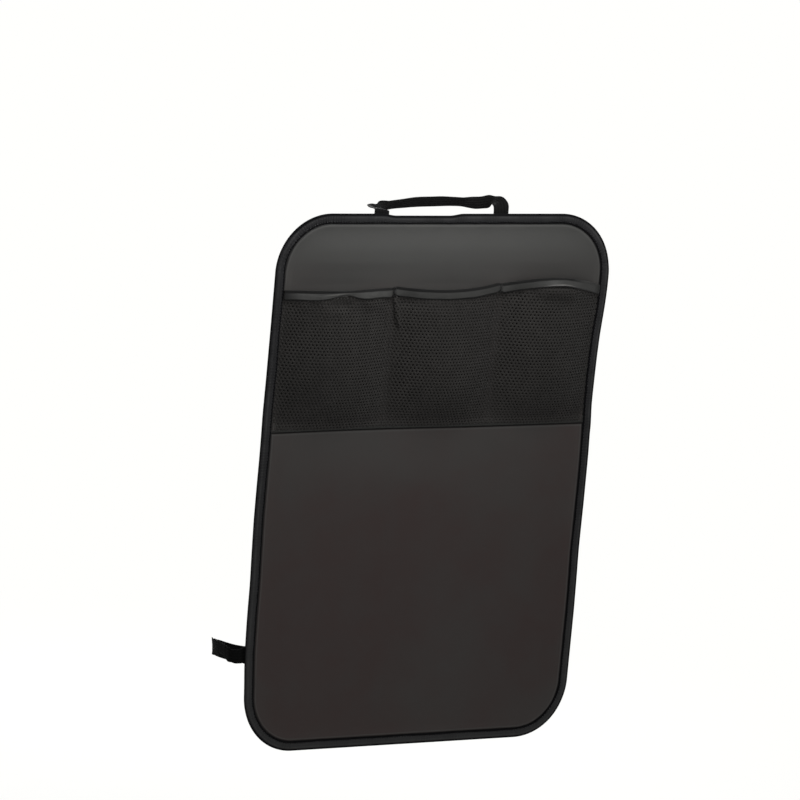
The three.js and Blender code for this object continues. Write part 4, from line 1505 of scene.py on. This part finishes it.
@dataclass
class LowerStrap:
    """One half of the strap round the back, from its sewn end to the lap in the middle.

    It is gathered a little and crumpled where it bends round the side.

    Attributes:
        name: Name of the piece.
        node: Name of the solid that it stands for.
        side: -1 for the left half and 1 for the right one.
        inset: How far inside the panel's edge it bends back, in mm.
        turn: How far that bend reaches behind the panel, in mm.
        outer: Whether it lies over the other half at the lap.
        edge: Distance of the panel's edge from its middle, in mm.
        outset: Distance of the strap's widest place from it, in mm.
        level: Height of the sewn end, in mm.
        sewn: Distance of the end's stitches from the middle, in mm.
        depth: Depth of the loop behind the panel, in mm.
        pair: Distance of the outer half from the inner one at the lap, in mm.
        fall: How far the strap falls towards the lap, in mm.
        dents: Places along the strap, and the reach and height of the bend there, in mm.
    """

    name: str
    node: str
    side: int
    inset: float
    turn: float
    outer: bool
    edge: float = 225.0
    outset: float = 241.0
    level: float = -205.5
    sewn: float = 201.5
    depth: float = 97.0
    pair: float = 4.1
    fall: float = 31.0
    dents: Bells = ((46, 9, -2.7), (70, 9, 1.5), (94, 10, 1.6))

    def route(self) -> tuple[Array, Array]:
        """Places and width directions from the sewn end round the side to the lap."""
        edge, outset, side = self.edge - self.inset, self.outset, self.side
        chosen = []
        for share in (0, 0.25, 0.5, 0.75, 1):
            angle = share * np.pi / 2
            x, y = edge + (outset - edge) * np.sin(angle), 2 + self.turn * (1 - np.cos(angle))
            chosen.append(((side * x, y, share), (side * 0.15 * share, 0.0, 1.0)))
        for share in (0.1, 0.33, 0.67, 1):
            angle = share * np.pi / 2
            fallen = float(smoothstep(np.array(share), 0, 1))
            x, y = outset - 110 * (1 - np.cos(angle)), self.depth - 55 * (1 - np.sin(angle))
            chosen.append(((side * x, y, 1 - self.fall * fallen), (side * 0.15 * (1 - fallen), 0.0, 1.0)))
        lap = self.depth + self.pair if self.outer else self.depth
        for x, y in ((84, self.depth), (42, lap), (0, lap), (-42, lap)):
            chosen.append(((side * x, y, 1 - self.fall), (0.0, 0.0, 1.0)))
        path, across = smooth_route(chosen, 420)
        sewn = np.array([[193, 0.9, 0], [210, 0.9, 0], [212.4, 2, 0], [edge - 3, 2, 0]]) * [[side, 1, 1]]
        path = np.concatenate([sewn, path])
        path, across = evened(path, np.concatenate([np.tile(UPWARDS, (4, 1)), across]))
        return path + self.level * UPWARDS, across

    def build(self) -> list[bpy.types.Object]:
        """Make the strap and the stitches of its sewn end."""
        path, across = self.route()
        run = np.arange(len(path)) * STATION
        gathered = smoothstep(run, 28, 42) * (1 - smoothstep(run, 95, 130))
        crumple = 0.15 + 0.12 * ripple(run, 0.0, 12, 51) + 0.08 * ripple(run, 0.0, 26, 54)
        narrow = 1 - gathered * crumple - bells(run, ((94, 10, 0.07),))
        shake = gathered * (1.2 * ripple(run, 0.0, 10, 52) + 1.2 * ripple(run, 0.0, 24, 53))
        bend = bells(run, self.dents) + 0.5 * shake
        path = path + shake[:, None] * TO_BACK + bend[:, None] * UPWARDS
        ends = ((self.side * self.sewn, self.level),)
        return SewnWebbing().build(self.name, self.node, (path, across), narrow, ends)


@dataclass
class Closure:
    """Hook and loop patches that join the two halves of the lower strap.

    Attributes:
        width: Width of a patch, in mm.
        thickness: Thickness of a patch, in mm.
        level: Height of the patches' middle, in mm.
        loops: Place of the loop patch behind the panel, in mm.
        hooks: The same for the hook patch.
    """

    width: float = 16.0
    thickness: float = 1.0
    level: float = -235.5
    loops: float = 98.4
    hooks: float = 99.7

    def patch(self, name: str, node: str, y: float, kind: PileKind) -> bpy.types.Object:
        """Make one patch: a flat section with round edges carried along it, drawn in at its ends."""
        x = np.concatenate([[-30, -29.85, -29.5], np.linspace(-29, 29, 60), [29.5, 29.85, 30]])
        ends = np.concatenate([[0.9, 0.96, 0.99], np.ones(60), [0.99, 0.96, 0.9]])
        path = np.stack([x, np.full_like(x, y), np.full_like(x, self.level)], -1)
        profile = ribbon_profile(self.width, self.thickness, 1, 0.0, 25)
        shrink = np.stack([0.98 + 0.02 * ends, ends], -1)
        piece = closed_piece(name, [carried(path, UPWARDS, profile, shrink)])
        return dress(piece, ClosureTape(kind), [node])

    def build(self) -> list[bpy.types.Object]:
        """Make both patches."""
        return [
            self.patch("loop_tape", "loop_patch", self.loops, PileKind.LOOPS),
            self.patch("hook_tape", "hook_patch", self.hooks, PileKind.HOOKS),
        ]


# Floor, light and camera


def turned_frame(right: Sequence[float], up: Sequence[float], back: Sequence[float]) -> Matrix:
    """Matrix that turns an object's own directions to these."""
    return Matrix(np.column_stack([right, up, back]).tolist()).to_4x4()


@dataclass(frozen=True)
class SoftLight:
    """One square soft lamp."""

    name: str
    at: tuple[float, float, float]
    towards: tuple[float, float, float]
    size: float
    power: float

    def build(self) -> None:
        """Add the lamp and turn it to its target."""
        data = bpy.data.lights.new(self.name, "AREA")
        data.size = self.size
        data.energy = self.power
        lamp = bpy.data.objects.new(self.name, data)
        lamp.visible_camera = False
        bpy.context.scene.collection.objects.link(lamp)
        back = unit(np.array(self.at, float) - np.array(self.towards, float))
        right = unit(np.cross(UPWARDS, back))
        lamp.matrix_world = Matrix.Translation(self.at) @ turned_frame(right, np.cross(back, right), back)


@dataclass
class Studio:
    """Pale floor, plain soft light and the photograph's camera.

    Attributes:
        floor_level: Height of the floor, in metres.
        floor_reach: Half width of the floor, in mm.
        ambient: Strength of the even light that falls on the part.
        lens: Focal length of the camera, in mm, for a sensor 36 mm wide.
        camera_at: Place of the camera, in metres.
        camera_frame: The camera's directions to its right, up and back.
        lamps: The soft lamps.
    """

    floor_level: float = -0.62
    floor_reach: float = 14000.0
    ambient: float = 0.25
    lens: float = 202.5
    camera_at: tuple[float, float, float] = (-2.6507, -4.5667, 1.1095)
    camera_frame: tuple[tuple[float, float, float], ...] = (
        (0.87316, -0.47971, 0.08638),
        (0.01668, 0.20652, 0.97830),
        (-0.48714, -0.85278, 0.18833),
    )
    lamps: list[SoftLight] = field(
        default_factory=lambda: [
            SoftLight("key_light", (-0.5, -1.7, 0.4), (0.0, 0.0, -0.15), 1.0, 12.0),
            SoftLight("top_light", (0.0, -0.26, 0.62), (0.0, 0.0, 0.28), 0.3, 5.0),
            SoftLight("back_light", (0.7, 2.0, 1.0), (0.0, 0.0, 0.0), 1.6, 60.0),
        ]
    )

    def floor(self) -> None:
        """Add the floor: one fine grid far larger than the view."""
        steps = np.linspace(-self.floor_reach, self.floor_reach, 57)
        x, y = np.meshgrid(steps, steps)
        points = np.stack([x, y, np.full_like(x, self.floor_level / MM)], -1)
        floor = open_piece("floor", Surface(points, np.stack([x, y], -1)))
        floor.data.materials.append(PaleFloor().build())
        floor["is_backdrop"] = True

    def world(self) -> None:
        """Light the scene evenly, and show plain white to the camera and to reflections."""
        shader = Shader("studio", bpy.data.worlds)
        lit = shader.surface("Background", {"Color": (1.0, 1.0, 1.0, 1.0), "Strength": self.ambient})
        plain = shader.surface("Background", {"Color": PaleFloor.white})
        mixed = shader.surface("MixShader", {0: shader.seen(), 1: lit, 2: plain})
        bpy.context.scene.world = shader.close("World", mixed)

    def camera(self) -> None:
        """Set the camera that was fitted to the panel's edges in the photograph."""
        data = bpy.data.cameras.new("photo_camera")
        data.lens = self.lens
        data.sensor_width = 36.0
        data.clip_end = 60.0
        camera = bpy.data.objects.new("photo_camera", data)
        bpy.context.scene.collection.objects.link(camera)
        camera.matrix_world = Matrix.Translation(self.camera_at) @ turned_frame(*self.camera_frame)
        bpy.context.scene.camera = camera

    def build(self) -> None:
        """Set up floor, world, lamps, camera and view."""
        self.floor()
        self.world()
        for lamp in self.lamps:
            lamp.build()
        self.camera()
        bpy.context.scene.view_settings.view_transform = "Standard"


def main() -> None:
    """Build the organizer and the studio."""
    logging.basicConfig(level=logging.INFO, format="%(name)s: %(message)s")
    Studio().build()
    BackPanel().build()
    EdgeBinding().build()
    pockets = NetPockets()
    pockets.net()
    pockets.hem()
    pockets.seams()
    TopStrap().build()
    LowerStrap("lower_strap_inner", "lower_strap_left", -1, 0.0, 14.0, False).build()
    LowerStrap("lower_strap_outer", "lower_strap_right", 1, 9.0, 42.0, True).build()
    Closure().build()
    boxes = {"cad": CAD_BOX, "visual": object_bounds()}
    sizes = {key: [[float(v) for v in corner] for corner in box] for key, box in boxes.items()}
    LOG.info("boxes %s", sizes)


if __name__ == "__main__":
    main()
